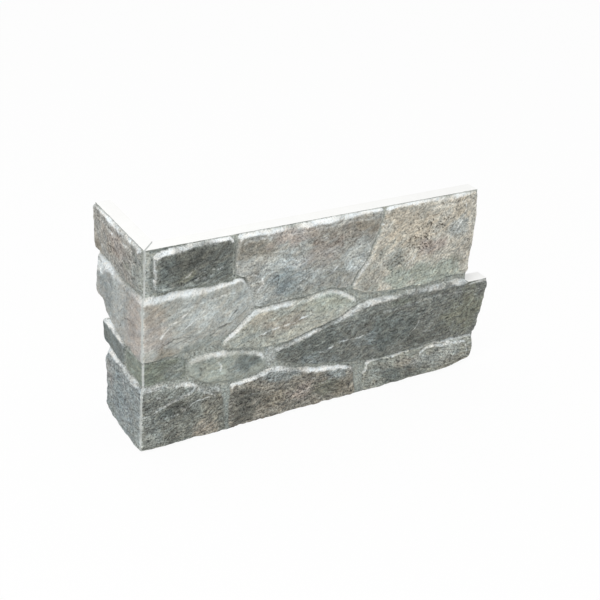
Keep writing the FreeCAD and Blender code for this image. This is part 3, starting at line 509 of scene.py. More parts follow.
# %% [markdown]
# ## Soft noise
# Nearly everything irregular here comes from one function: random numbers on a lattice, joined by
# smooth steps. Adding it to itself at half the size and about half the strength gives the look of
# weathering. The lattice is seeded, so every run makes the same tile.

# %% Noise in numpy
LATTICE = 256
SWIRL = 0.65
FADE = 0.55


def smooth_step(low, high, value):
    """0 below low, 1 above high, and three t squared minus two t cubed between them."""
    part = np.clip((value - low) / (high - low), 0, 1)
    return part * part * (3 - 2 * part)


def cloud(along, up, size, seed):
    """Smooth random hills from -1 to 1: lattice numbers, blended by smooth steps both ways."""
    lattice = np.random.default_rng(seed).uniform(-1, 1, (LATTICE, LATTICE))
    angle = SWIRL * seed
    across = (along * math.cos(angle) - up * math.sin(angle)) / size + LATTICE / 2
    rising = (along * math.sin(angle) + up * math.cos(angle)) / size + LATTICE / 2
    column = np.floor(across).astype(int)
    row = np.floor(rising).astype(int)
    right = smooth_step(0, 1, across - column)
    upper = smooth_step(0, 1, rising - row)
    column, row = column % LATTICE, row % LATTICE
    next_column, next_row = (column + 1) % LATTICE, (row + 1) % LATTICE
    below = lattice[row, column] * (1 - right) + lattice[row, next_column] * right
    above = lattice[next_row, column] * (1 - right) + lattice[next_row, next_column] * right
    return below * (1 - upper) + above * upper


def weathered(along, up, size, seed, octaves=4):
    """The cloud added to itself at half the size and about half the strength, several times."""
    total = sum(cloud(along, up, size / 2**n, seed + n) * FADE**n for n in range(octaves))
    return total / sum(FADE**n for n in range(octaves))


sample = weathered(*np.meshgrid(np.arange(0, UPPER_END), np.arange(0, TOP)), 7, 1)
print("noise runs from", round(float(sample.min()), 2), "to", round(float(sample.max()), 2))

# %% [markdown]
# ## Height of the relief
# How far up its edge a place on a stone lies depends on two distances: to the foot of the edge, and
# to the rim of the crown. Their ratio climbs from 0 to 1. Corner cutting rounds the outlines first,
# and noise bends the place that is looked up, so that no edge is straight.

# %% Distances and plateaus
CORNER_CUTS = (2.4, 0.8)
CALM_UNDER_TOP = 7


def rounded(points):
    """Corner cutting: each corner gives way to two points, a short step along its two sides."""
    for cut in CORNER_CUTS:
        side = np.roll(points, -1, axis=0) - points
        length = np.hypot(side[:, 0], side[:, 1])[:, None]
        step = side / length * np.minimum(cut, 0.3 * length)
        points = np.stack([points + step, points + side - step], 1).reshape(-1, 2)
    return points


def distance_to(line, along, up):
    """Distance to the nearest of the straight pieces that join the points of a line."""
    nearest = np.full(along.shape, np.inf)
    for start, end in zip(line[:-1], line[1:]):
        side = end - start
        part = ((along - start[0]) * side[0] + (up - start[1]) * side[1]) / (side @ side)
        part = np.clip(part, 0, 1)
        off = np.hypot(along - start[0] - part * side[0], up - start[1] - part * side[1])
        nearest = np.minimum(nearest, off)
    return nearest


def distance_inside(outline, along, up):
    """Distance to the nearest side, counted positive inside the outline and negative outside."""
    closed = np.vstack([outline, outline[:1]])
    inside = np.zeros(along.shape, bool)
    for start, end in zip(closed[:-1], closed[1:]):
        side = end - start
        if side[1]:
            crossing = start[0] + (up - start[1]) / side[1] * side[0]
            inside ^= ((start[1] > up) != (end[1] > up)) & (along < crossing)
    return np.where(inside, 1, -1) * distance_to(closed, along, up)


def climb(corners, along, up):
    """How far up its edge a place on a plateau is: 0 outside the foot, 1 on the crown."""
    table = np.array([[float(number) for number in corner] for corner in corners])
    foot = rounded(table[:, :2])
    crown = rounded(table[:, :2] + table[:, 2:])
    share = np.zeros(along.shape)
    low, high = foot.min(axis=0) - 3, foot.max(axis=0) + 3
    near = (along > low[0]) & (along < high[0]) & (up > low[1]) & (up < high[1])
    from_foot = distance_inside(foot, along[near], up[near])
    to_crown = np.maximum(-distance_inside(crown, along[near], up[near]), 0)
    share[near] = np.clip(from_foot / np.maximum(from_foot + to_crown, 1e-6), 0, 1)
    return share


def bend(sheet, along, up):
    """The place that is looked up: moved by about a millimetre, less near the top edge."""
    calm = smooth_step(0, CALM_UNDER_TOP, TOP - up)
    moved = along + 0.8 * cloud(sheet, up, 11, 11) + 0.7 * weathered(sheet, up, 4.2, 12, 3)
    raised = up + calm * (0.8 * cloud(sheet, up, 10, 13) + 0.8 * weathered(sheet, up, 4.0, 14, 3))
    return moved, raised


def blurred(values, cells):
    """Mean over a square of cells: first down the columns, then along the rows."""
    for axis in (0, 1):
        shifted = (np.roll(values, cell, axis) for cell in range(-cells, cells + 1))
        values = sum(shifted) / (2 * cells + 1)
    return values


cap_foot = np.array([corner[:2] for corner in FRONT_STONES[0].corners], float)
print("the foot of the cap has", len(cap_foot), "corners,", len(rounded(cap_foot)), "once rounded")

# %% [markdown]
# ## The joints and their paint
# A leg starts as a grid of places on the sheet, and the joints come first, as an uneven floor.
# Colours are written as hex values, as a painter's chart gives them, and Blender reckons in linear
# light, so one function turns them. A patch is laid on by mixing with a weight for every place.
# Nothing is filled up at the arris, where the two legs have to meet.

# %% Joints
FLOOR, FLOOR_SWELL, FILLED = 0.45, 0.3, 1.9
FILLED_FROM, FILLED_WHOLLY = 2, 8
JOINT_CLOUDS, JOINT_GRAIN = 0.36, 0.8
Grid = namedtuple("Grid", "along up sheet moved raised lines")


def noise_over(grid, size, seed, octaves=4):
    """Weathering at every place of a grid."""
    return weathered(grid.sheet, grid.up, size, seed, octaves)


def linear(hex_colour):
    """The sRGB curve undone: below 0.04045 a straight line, above it a power of 2.4."""
    parts = np.array([int(hex_colour[i:i + 2], 16) / 255 for i in (1, 3, 5)])
    return np.where(parts <= 0.04045, parts / 12.92, ((parts + 0.055) / 1.055) ** 2.4)


def mixed(colour, hex_colour, weight):
    """The colour of every place, moved towards one paint by a weight of its own."""
    weight = weight[..., None]
    return colour * (1 - weight) + linear(hex_colour) * weight


def patch_weight(patch, grid):
    """1 in the middle of a tilted oval and 0 outside it, broken up by noise of two sizes."""
    angle = math.radians(patch.tilt)
    right, rise = grid.along - patch.along, grid.up - patch.up
    first = (right * math.cos(angle) + rise * math.sin(angle)) / patch.half_along
    second = (rise * math.cos(angle) - right * math.sin(angle)) / patch.half_up
    ragged = np.hypot(first, second) + 0.9 * noise_over(grid, 13, 31)
    ragged += 0.45 * weathered(grid.sheet * 0.7, grid.up, 4, 35, 3)
    return patch.strength * smooth_step(1.35, 0.5, ragged)


def tinted(hex_colour, patches, grid):
    """One colour for every place, with a list of patches laid over it."""
    colour = np.tile(linear(hex_colour), (*grid.along.shape, 1))
    for patch in patches:
        colour = mixed(colour, INKS[patch.ink], patch_weight(patch, grid))
    return colour


def joint_floor(leg, grid):
    """The sheet before any stone is laid: what is known of every place, by name."""
    filling, shade = leg.patches.get("joint", []), leg.patches.get("shade", [])
    height = FLOOR + FLOOR_SWELL * noise_over(grid, 4, 41, 3)
    away_from_arris = smooth_step(FILLED_FROM, FILLED_WHOLLY, grid.along)
    for patch in filling:
        height = height + FILLED * away_from_arris * patch_weight(patch, grid)
    clouds = JOINT_CLOUDS * weathered(grid.sheet, grid.up * 0.6, 5, 43, 4)
    fields = {name: np.zeros(height.shape) for name in ("pits", "pale", "band", "crown", "vein", "crack")}
    fields["height"] = height
    fields["glaze_colour"] = tinted(JOINT_COLOUR, filling + shade, grid) * (1 + clouds)[..., None]
    fields["grain"] = np.full(height.shape, JOINT_GRAIN)
    fields["layers"] = np.stack([grid.sheet, grid.up, np.zeros_like(grid.up)], -1)
    return fields


print("a filled joint rises by up to", FILLED, "mm, and joint grey is", linear(JOINT_COLOUR).round(3))

# %% [markdown]
# ## The face of a stone
# A split face is a low stair of broken layers: noise stretched along the layers is cut into level
# treads with steep rises. The seeds of a stone's noise follow from its own, so that a stone on both
# legs has one face. Over it lies the printed colour, with patches, blotches and short strokes.

# %% Faces of the stones
SWELL, LAYERS, FINE = 0.25, 1.5, 0.10
TREADS = 6
STRETCH = 2.2
BLOTCHES, STROKES = 0.34, 0.28
SEAM_RISE = {"vein": 0.25, "crack": -0.5}
SEAM_WIDTH = {"vein": 0.9, "crack": 1.1}


def layer_places(stone, grid):
    """Places turned to the lean of a stone's layers: along their run, and across their waves."""
    angle = math.radians(stone.lean)
    run = grid.sheet * math.cos(angle) + grid.up * math.sin(angle)
    across = grid.up * math.cos(angle) - grid.sheet * math.sin(angle)
    return run, across + 4 * noise_over(grid, 18, 20 * stone.seed + 4, 2)


def terraced(value):
    """A stair with level treads: whole steps, and a steep smooth rise at the end of each."""
    scaled = value * TREADS
    whole = np.floor(scaled)
    return (whole + smooth_step(0.6, 1, scaled - whole)) / TREADS


def split_face(run, across, seed):
    """Long swells plus a stair of broken layers, stretched along their run, plus a fine grain."""
    warped = across + 1.8 * cloud(run, across, 9, seed + 1)
    layers = terraced(weathered(run / 2.6, warped, 7, seed + 2, 3))
    fine = weathered(run / 1.8, across, 2.4, seed + 9, 2)
    return SWELL * cloud(run, across, 34, seed) + LAYERS * layers + FINE * fine


def seam_mark(seam, grid):
    """1 on the line of a seam and 0 beside it, thinned out in places by noise."""
    thinned = smooth_step(-0.5, 0.4, weathered(grid.sheet, grid.raised, 5, 93, 2))
    width = SEAM_WIDTH[seam.kind] * (0.8 + 0.7 * cloud(grid.sheet, grid.raised, 5, 91))
    wander = 1.3 * weathered(grid.sheet, grid.raised, 7, 95, 3)
    away = distance_to(np.array(seam.points, float), grid.moved + wander, grid.raised - wander)
    return smooth_step(1, 0, away / np.maximum(width, 0.2)) * thinned


def crown_of(stone, leg, grid, run, across):
    """Height of a stone's crown with its flakes and seams, and how much vein and crack is where."""
    top = stone.relief + stone.rough * split_face(run, across, 20 * stone.seed)
    marks = {kind: np.zeros(run.shape) for kind in SEAM_RISE}
    if stone.name in leg.flakes:
        flake = leg.flakes[stone.name]
        ledge = climb(flake.corners, grid.moved, grid.raised)
        top = top + FLAKE * smooth_step(0, 1, ledge)
        # the upper rim of a flake faces up and is painted pale through the vein mark: paler glaze and a
        # painted highlight
        rim = smooth_step(0.1, 0.4, -np.gradient(ledge, grid.lines, axis=0))
        marks["vein"] = flake.rim * rim
    for seam in leg.seams.get(stone.name, []):
        mark = seam_mark(seam, grid)
        top = top + SEAM_RISE[seam.kind] * mark
        marks[seam.kind] = np.maximum(marks[seam.kind], mark)
    return top, marks


def printed(stone, leg, grid, run, across):
    """Colour of a stone's glaze: its patches, then blotches, then strokes along its layers."""
    glaze = tinted(stone.colour, leg.patches.get(stone.name, []), grid)
    blotches = BLOTCHES * noise_over(grid, 7, 20 * stone.seed + 12, 4)
    strokes = STROKES * stone.grain * weathered(run / STRETCH, across, 3.2, 20 * stone.seed + 16, 3)
    return glaze * (1 + blotches + strokes)[..., None]


print("a tread is", round(LAYERS / TREADS, 2), "mm high, and a vein stands", SEAM_RISE["vein"], "mm out")

# %% [markdown]
# ## Pressing one leg
# The stones are laid on the joints one by one. Each edge climbs from the floor by a power curve,
# steep at the foot and round at the shoulder, as it comes out of a steel mould, and the glaze
# blends into the joint's colour at the foot. The slope of the finished relief then paints light and
# shade into it. Edges that face up are paler, partly because the glaze is sprayed from above and
# lies thicker there, and partly as a painted highlight from the light above. On the front leg, edges
# that face left get a paler glaze and a painted highlight too. Hollows and undersides are darker,
# which is painted shade.

# %% Pressing one leg
PITCH = 0.8
SHOULDER = 2.5
RAGGED_EDGE = 0.22
GLAZE_FADES_IN = (-0.1, 0.55)
BAND_STARTS, BAND_ENDS = (-0.1, 0.2), (1.1, 0.6)
# pale edges: paler glaze plus a painted highlight; PALE_LEFT is the same on edges that face left
PALE_LIMIT, PALE_VEIN, PALE_LEFT = 0.95, 0.75, 0.5
CALM_WHERE_PALE = 0.85
# darkness of cracks and of the painted shadow lines drawn as cracks, and painted shade on undersides
DARK_CRACK_AND_SHADOW_LINE, UNDERSIDE_SHADE = 0.5, 0.12


def upper_edge(share, edge, lines):
    """1 on the part of a stone's edge that faces up, 0 on its other sides and on the crown."""
    rise, drift = -np.gradient(share, lines, axis=0), np.gradient(share, axis=1) / PITCH
    upward = smooth_step(0.25, 0.75, rise / np.maximum(np.hypot(rise, drift), 0.02))
    return upward * smooth_step(*BAND_ENDS, edge) * smooth_step(*BAND_STARTS, edge)


def lay_stone(stone, leg, grid, fields):
    """Lay one stone over what is there. The old height and colour still show through at its edge."""
    share = climb(stone.corners, grid.moved, grid.raised)
    inside = share > 0
    run, across = layer_places(stone, grid)
    top, marks = crown_of(stone, leg, grid, run, across)
    edge = share + RAGGED_EDGE * noise_over(grid, 5, 20 * stone.seed + 18, 4)
    holes = np.full(share.shape, stone.pits)
    if stone.name in PITTED:
        holes = np.maximum(holes, patch_weight(PITTED[stone.name], grid))
    floor = fields["height"]
    laid = {
        "height": floor + (top - floor) * (1 - (1 - share) ** SHOULDER),
        "grain": stone.grain, "pits": holes * smooth_step(0.5, 1, share), "pale": stone.pale,
        "crown": share, "band": upper_edge(share, edge, grid.lines),
    }
    laid.update({kind: np.maximum(fields[kind], mark) for kind, mark in marks.items()})
    for name, values in laid.items():
        fields[name] = np.where(inside, values, fields[name])

    cover = np.where(inside, smooth_step(*GLAZE_FADES_IN, edge), 0)[..., None]
    glaze = printed(stone, leg, grid, run, across)
    fields["glaze_colour"] = fields["glaze_colour"] * (1 - cover) + glaze * cover
    layers = np.stack([run / STRETCH, across, np.full(share.shape, 40.0 * stone.seed)], -1)
    fields["layers"] = np.where(inside[..., None], layers, fields["layers"])


def slope_paint(leg, grid, fields):
    """How far the glaze of every place turns pale, as paler glaze and painted highlight, and how far it
    turns dark, as painted shade and dark cracks.
    """
    height = fields["height"]
    # edges that face up are painted pale: paler glaze plus a painted highlight from the light above
    faces_up = -np.gradient(height, grid.lines, axis=0) + 0.3 * noise_over(grid, 3, 83, 2)
    ledges = smooth_step(0.3, 1.1, faces_up) * (1 - 0.45 * fields["crown"])
    pale = fields["pale"] * np.maximum(ledges, 0.9 * fields["band"])
    # edges that face left, on the front leg only: paler glaze plus a painted highlight from the left
    if leg.side > 0:
        faces_left = np.gradient(height, axis=1) / PITCH + 0.3 * noise_over(grid, 4, 85, 2)
        pale = np.maximum(pale, PALE_LEFT * fields["pale"] * smooth_step(0.9, 2.2, faces_left))
    pale = pale * (0.86 + 1.1 * noise_over(grid, 14, 87, 2))
    pale = np.clip(np.maximum(pale, PALE_VEIN * fields["vein"]), 0, PALE_LIMIT)
    # painted shade: darker in the hollows of the relief and on the undersides of stones
    hollow = np.clip((blurred(height, 2) - height) / 0.5, -1, 1)
    hollow_shade = 0.35 * smooth_step(0.3, 0.9, fields["crown"]) - 0.05
    dark = UNDERSIDE_SHADE * smooth_step(0.3, 1.4, -faces_up) + hollow_shade * hollow
    return pale, dark + DARK_CRACK_AND_SHADOW_LINE * fields["crack"]


def press_sheet(leg, along, lines):
    """Height of the tile's face at every place of the grid, and what each place looks like."""
    up = np.repeat(lines[:, None], along.shape[1], 1)
    sheet = along * leg.side
    grid = Grid(along, up, sheet, *bend(sheet, along, up), lines)
    fields = joint_floor(leg, grid)
    for stone in leg.stones:
        lay_stone(stone, leg, grid, fields)
    pale, dark = slope_paint(leg, grid, fields)
    # painted shade multiplied in, then paler glaze and painted highlight mixed over it
    shaded = fields["glaze_colour"] * np.clip(1 - dark, 0.3, 1.5)[..., None]
    fields["glaze_colour"] = mixed(shaded, PALE_GLAZE_AND_HIGHLIGHT, pale)
    fields["grain"] = fields["grain"] * (1 - CALM_WHERE_PALE * pale)
    return fields["height"], {name: fields[name] for name in ("glaze_colour", "grain", "pits", "layers")}


print("one cell of the grid is", PITCH, "mm, and the power of the shoulder is", SHOULDER)

# %% [markdown]
# ## A helper for nodes
# A material in Blender is a tree of nodes. One helper adds a node with its settings and its links,
# so that each line below reads as one step of the recipe. Noise is given by the size of its grains.

# %% Nodes
def add_node(owner, kind, place, settings=None, links=None):
    """Add a node of a kind, set its values by socket name or property, and link its inputs."""
    node = owner.node_tree.nodes.new(kind)
    node.location = place
    for key, value in (settings or {}).items():
        if isinstance(key, int) or key in node.inputs:
            node.inputs[key].default_value = value
        else:
            setattr(node, key, value)
    for socket, source in (links or {}).items():
        owner.node_tree.links.new(source, node.inputs[socket])
    return node


def new_material(name):
    """An empty material and its Principled shader."""
    material = bpy.data.materials.new(name)
    material.use_nodes = True
    return material, material.node_tree.nodes["Principled BSDF"]


def per_metre(millimetres):
    """Scale of a noise whose grains are this large."""
    return 1 / (millimetres * MM)


print("noise with grains of 2 mm has the scale", round(per_metre(2)))

# %% [markdown]
# ## Printed matt glaze
# The face is matt glaze on porcelain stoneware, sprayed on and printed in a fine pattern. It looks
# dry, with only a broad soft sheen. Short strokes follow the layers of each stone: their noise reads
# the `layers` attribute, which is the place on the sheet, turned and squeezed along the layers, with
# a depth of its own for each stone. Specks and pits read Object coordinates, so that they keep their
# size in millimetres. The real print is finer still, and is drawn as coarse as it has to be to show.

# %% Glaze
SPECKLE = 3.5
COOL_SPOT, WARM_SPOT = (0.96, 1.0, 1.03), (1.035, 1.0, 0.955)
PIT_SHADE = (0.24, 0.22, 0.20, 1)


def speckled_factor(material, strokes, specks, grain):
    """Strokes and specks added, centred on 0 and scaled by the grain; then turned to sit near 1."""
    both = add_node(material, "ShaderNodeMath", (-1100, -100), {"operation": "MULTIPLY_ADD", 1: 1.1}, {
        0: strokes.outputs["Fac"], 2: specks.outputs["Fac"]})
    centred = add_node(material, "ShaderNodeMath", (-950, -100), {"operation": "SUBTRACT", 1: 1.05}, {
        0: both.outputs[0]})
    scaled = add_node(material, "ShaderNodeMath", (-800, -50), {"operation": "MULTIPLY"}, {
        0: centred.outputs[0], 1: grain.outputs["Fac"]})
    factor = add_node(material, "ShaderNodeMath", (-650, -50), {
        "operation": "MULTIPLY_ADD", 1: SPECKLE, 2: 1.08}, {0: scaled.outputs[0]})
    grit = add_node(material, "ShaderNodeMapRange", (-1100, 150), {
        "From Min": 0.37, "From Max": 0.45, "To Min": 0.72, "To Max": 1.0}, {
        "Value": specks.outputs["Fac"]})
    gritty = add_node(material, "ShaderNodeMath", (-550, 50), {"operation": "MULTIPLY"}, {
        0: factor.outputs[0], 1: grit.outputs["Result"]})
    return scaled, gritty


def spots_of_warmth(material, layers):
    """Soft cool and warm spots of a few millimetres, as a colour near white."""
    spots = add_node(material, "ShaderNodeTexNoise", (-1100, 500), {
        "Scale": per_metre(3.6), "Detail": 3.0, "Roughness": 0.7}, {"Vector": layers.outputs["Vector"]})
    warmth = add_node(material, "ShaderNodeValToRGB", (-900, 500), {}, {"Fac": spots.outputs["Fac"]})
    for element, position, shade in zip(warmth.color_ramp.elements, (0.38, 0.62), (COOL_SPOT, WARM_SPOT)):
        element.position = position
        element.color = (*shade, 1)
    return warmth


def sparse_pits(material, place, pits):
    """Small holes where a noise is at its highest, as strong as the attribute asks."""
    holes = add_node(material, "ShaderNodeTexNoise", (-1300, -600), {
        "Scale": per_metre(1.7), "Detail": 2.0, "Roughness": 0.6}, {"Vector": place})
    sparse = add_node(material, "ShaderNodeMapRange", (-1100, -600), {
        "From Min": 0.56, "From Max": 0.61}, {"Value": holes.outputs["Fac"]})
    return add_node(material, "ShaderNodeMath", (-900, -500), {"operation": "MULTIPLY"}, {
        0: sparse.outputs["Result"], 1: pits.outputs["Fac"]})


def make_glaze():
    """Matt printed glaze: the sheet's colour, broken up by strokes, specks, warm spots and pits."""
    material, shader = new_material("matt_stone_effect_glaze")
    links = material.node_tree.links
    place = add_node(material, "ShaderNodeTexCoord", (-1600, -500)).outputs["Object"]
    tint, grain, pits, layers = (
        add_node(material, "ShaderNodeAttribute", (-1600, 400 - 200 * row), {"attribute_name": name})
        for row, name in enumerate(("glaze_colour", "grain", "pits", "layers")))
    strokes = add_node(material, "ShaderNodeTexNoise", (-1300, 0), {
        "Scale": per_metre(1.7), "Detail": 4.0, "Roughness": 0.7}, {"Vector": layers.outputs["Vector"]})
    specks = add_node(material, "ShaderNodeTexNoise", (-1300, -250), {
        "Scale": per_metre(1.2), "Detail": 3.0, "Roughness": 0.75}, {"Vector": place})
    scaled, gritty = speckled_factor(material, strokes, specks, grain)
    speckled = add_node(material, "ShaderNodeVectorMath", (-400, 250), {"operation": "SCALE"}, {
        "Vector": tint.outputs["Color"], "Scale": gritty.outputs[0]})
    warmth = spots_of_warmth(material, layers)
    toned = add_node(material, "ShaderNodeVectorMath", (-250, 350), {"operation": "MULTIPLY"}, {
        0: speckled.outputs[0], 1: warmth.outputs["Color"]})
    amount = sparse_pits(material, place, pits)
    pitted = add_node(material, "ShaderNodeMix", (-50, 300), {
        "data_type": "RGBA", "blend_type": "MULTIPLY", 7: PIT_SHADE}, {
        0: amount.outputs[0], 6: toned.outputs[0]})
    links.new(pitted.outputs[2], shader.inputs["Base Color"])

    dull = add_node(material, "ShaderNodeMapRange", (-450, -250), {
        "From Min": 0.35, "From Max": 0.65, "To Min": 0.55, "To Max": 0.8}, {
        "Value": strokes.outputs["Fac"]})
    links.new(dull.outputs["Result"], shader.inputs["Roughness"])
    bumpy = add_node(material, "ShaderNodeMath", (-650, -400), {"operation": "SUBTRACT"}, {
        0: scaled.outputs[0], 1: amount.outputs[0]})
    bump = add_node(material, "ShaderNodeBump", (-450, -500), {"Strength": 0.9, "Distance": 0.7 * MM}, {
        "Height": bumpy.outputs[0]})
    links.new(bump.outputs["Normal"], shader.inputs["Normal"])
    shader.inputs["IOR"].default_value = 1.5
    return material


GLAZE = make_glaze()
print("glaze has", len(GLAZE.node_tree.nodes), "nodes")

# %% [markdown]
# ## Bare porcelain
# The back, the cut ends and the pressed sides are the bare white body of the tile: fired powder,
# dead matt, with a fine grain and hardly any colour. Two sizes of noise add up to a faint tone.

# %% Bare body
def make_biscuit():
    """Bare porcelain body: white, dead matt, with the grain of pressed powder."""
    material, shader = new_material("bare_porcelain_body")
    links = material.node_tree.links
    place = add_node(material, "ShaderNodeTexCoord", (-900, 0)).outputs["Object"]
    powder = add_node(material, "ShaderNodeTexNoise", (-700, 0), {
        "Scale": per_metre(1.6), "Detail": 4.0, "Roughness": 0.6}, {"Vector": place})
    cloudy = add_node(material, "ShaderNodeTexNoise", (-700, 250), {
        "Scale": per_metre(14), "Detail": 3.0}, {"Vector": place})
    both = add_node(material, "ShaderNodeMath", (-500, 150), {"operation": "ADD"}, {
        0: powder.outputs["Fac"], 1: cloudy.outputs["Fac"]})
    halved = add_node(material, "ShaderNodeMath", (-400, 0), {"operation": "MULTIPLY", 1: 0.5}, {
        0: both.outputs[0]})
    tone = add_node(material, "ShaderNodeValToRGB", (-300, 150), {}, {"Fac": halved.outputs[0]})
    tone.color_ramp.elements[0].position = 0.35
    tone.color_ramp.elements[0].color = (*linear("#F4F4F2"), 1)
    tone.color_ramp.elements[1].position = 0.9
    tone.color_ramp.elements[1].color = (*linear("#FBFBFA"), 1)
    links.new(tone.outputs["Color"], shader.inputs["Base Color"])
    shader.inputs["Roughness"].default_value = 0.85
    bump = add_node(material, "ShaderNodeBump", (-300, -200), {"Strength": 0.4, "Distance": 0.3 * MM}, {
        "Height": powder.outputs["Fac"]})
    links.new(bump.outputs["Normal"], shader.inputs["Normal"])
    return material


BISCUIT = make_biscuit()
print("bare body has", len(BISCUIT.node_tree.nodes), "nodes")

# %% [markdown]
# ## Epoxy
# The glue is a two-part epoxy filled with stone powder and wiped smooth while it was soft. It is a
# little glossier than the glaze, and smeared in paler and darker greys.

# %% Epoxy
def make_epoxy():
    """Stone-grey epoxy, smoothed at the arris: a little glossier than the glaze."""
    material, shader = new_material("stone_grey_epoxy")
    links = material.node_tree.links
    place = add_node(material, "ShaderNodeTexCoord", (-700, 0)).outputs["Object"]
    smear = add_node(material, "ShaderNodeTexNoise", (-500, 0), {
        "Scale": per_metre(14), "Detail": 5.0}, {"Vector": place})
    tone = add_node(material, "ShaderNodeValToRGB", (-300, 0), {}, {"Fac": smear.outputs["Fac"]})
    tone.color_ramp.elements[0].position = 0.3
    tone.color_ramp.elements[0].color = (*linear("#9FA4A0"), 1)
    tone.color_ramp.elements[1].position = 0.7
    tone.color_ramp.elements[1].color = (*linear("#D6D9D6"), 1)
    links.new(tone.outputs["Color"], shader.inputs["Base Color"])
    shader.inputs["Roughness"].default_value = 0.5
    return material


EPOXY = make_epoxy()
print("materials", [material.name for material in (GLAZE, BISCUIT, EPOXY)])

# %% [markdown]
# ## The glazed face of a leg
# The grid runs from the mitre to the free end. Towards the free end each row is stretched or
# squeezed to meet the stepped outline, from the place called `steady` on. Near the arris the
# columns lean, so that the first one lies exactly in the 45 degree cut at every height. The rows
# include every height at which an end has a corner, and both legs share them. `tallest` is the
# height of a leg's tallest CAD stone, and `shortest` is where its free end comes nearest.

# %% Glazed face
LEAN = 6.0
SOFTNESS = 5.0
RAGGED_END = 0.4
UNDER_LIMIT = 0.02
ROWS = np.unique(np.concatenate([
    np.linspace(0, TOP, int(TOP / PITCH) + 1), [corner[1] for corner in FRONT_END + RETURN_END]]))
Leg = namedtuple("Leg", "node side free_end steady tallest shortest stones flakes seams patches")
FRONT_LEG = Leg("front_leg", 1, FRONT_END, 270, PROUD + FLAKE, UPPER_END,
                FRONT_STONES, FRONT_FLAKES, FRONT_SEAMS, FRONT_PATCHES)
RETURN_LEG = Leg("return_leg", -1, RETURN_END, 40, PROUD, HEEL_END - 4,
                 RETURN_STONES, RETURN_FLAKES, RETURN_SEAMS, RETURN_PATCHES)


def sheet_grid(leg):
    """Places along and up at which a leg is worked out, its rows fitted to the free end."""
    reach = max(corner[0] for corner in leg.free_end)
    ends = np.interp(ROWS, [corner[1] for corner in leg.free_end], [corner[0] for corner in leg.free_end])
    ends -= RAGGED_END * (1 + weathered(0 * ROWS, ROWS, 4, 51, 2))
    along, up = np.meshgrid(np.linspace(0, reach, int(reach / PITCH) + 1), ROWS)
    squeezed = leg.steady + (along - leg.steady) * ((ends[:, None] - leg.steady) / (reach - leg.steady))
    return np.where(along > leg.steady, squeezed, along), up


def glazed_face(leg, along, up):
    """The face in sheet places, and its looks. A soft limit keeps it under the tallest CAD stone."""
    height, looks = press_sheet(leg, along, ROWS)
    near_arris = smooth_step(0.8, 0.0, along + 0.5 * weathered(along, up, 3, 53, 3))
    near_arris *= smooth_step(-0.7, 0.3, weathered(0 * along, up, 12, 55, 2))
    looks["glaze_colour"] = mixed(looks["glaze_colour"], ARRIS_COLOUR, near_arris)
    lean = np.clip(1 - along / LEAN, 0, 1)
    limit = leg.tallest - UNDER_LIMIT - (leg.tallest - PROUD) * lean
    height = limit - np.logaddexp(0, (limit - height) * SOFTNESS) / SOFTNESS
    return np.stack([along + (CLEAR - height[:, :1]) * lean, up, height], -1), looks


print(len(ROWS), "rows of cells from foot to top")

# %% [markdown]
# ## Walls and keyed back
# Walls join the rim of the face to the flat back, which carries the shallow square recesses of the
# CAD model. A boolean could cut them, but a grid with a line on each side of every wall keeps the
# faces clean. The ring of back between the recesses and the walls is filled with triangles.

# %% Walls and back
WALL_ROWS = 4
KEY_PITCH, KEY_RIB, KEY_DEPTH, KEY_MARGIN, KEY_DRAFT = 25.5, 3.0, 0.6, 7.0, 0.3


def numbered(rows, columns, first=0):
    """Numbers of the points of a grid, counted from a first one."""
    return first + np.arange(rows * columns).reshape(rows, columns)


def cells_of(index):
    """Four corners of every cell of a numbered grid, in the order that turns with along, then up."""
    cells = [index[:-1, :-1], index[:-1, 1:], index[1:, 1:], index[1:, :-1]]
    return np.stack(cells, -1).reshape(-1, 4)


def rim_of(grid):
    """The border of a grid as one loop: foot, free end, top and mitre."""
    return np.concatenate([grid[0, :-1], grid[:-1, -1], grid[-1, :0:-1], grid[:0:-1, 0]])


def key_lines(start, count):
    """Lines of the recesses along one direction, and which of them lie at a recess's bottom."""
    side = KEY_PITCH - KEY_RIB
    first = start + KEY_PITCH * np.arange(count)[:, None]
    lines = first + np.array([0, KEY_DRAFT, side - KEY_DRAFT, side])
    return lines.ravel(), np.tile([False, True, True, False], count)


def keyed_back(leg):
    """Grid of the back's recesses: their lines cross, and a bottom is where both say so."""
    columns = int((leg.shortest - BODY - 2 * KEY_MARGIN + KEY_RIB) // KEY_PITCH)
    rows = int((TOP - 2 * KEY_MARGIN + KEY_RIB) // KEY_PITCH)
    along, deep_along = key_lines(BODY + KEY_MARGIN, columns)
    up, deep_up = key_lines((TOP - rows * KEY_PITCH + KEY_RIB) / 2, rows)
    across, rise = np.meshgrid(along, up)
    depth = np.where(deep_up[:, None] & deep_along[None, :], KEY_DEPTH - BODY, -BODY)
    return np.stack([across, rise, depth], -1)


def filled_ring(points, outer, inner):
    """Triangles of the flat back between two loops of point numbers, all turned the same way."""
    flat = [[(*point[:2], 0) for point in points[loop]] for loop in (outer, inner)]
    ring = np.concatenate([outer, inner])[np.array(tessellate_polygon(flat))]
    a, b, c = (points[ring[:, n], :2] for n in range(3))
    clockwise = np.cross(b - a, c - a) < 0
    return np.where(clockwise[:, None], ring, ring[:, ::-1])


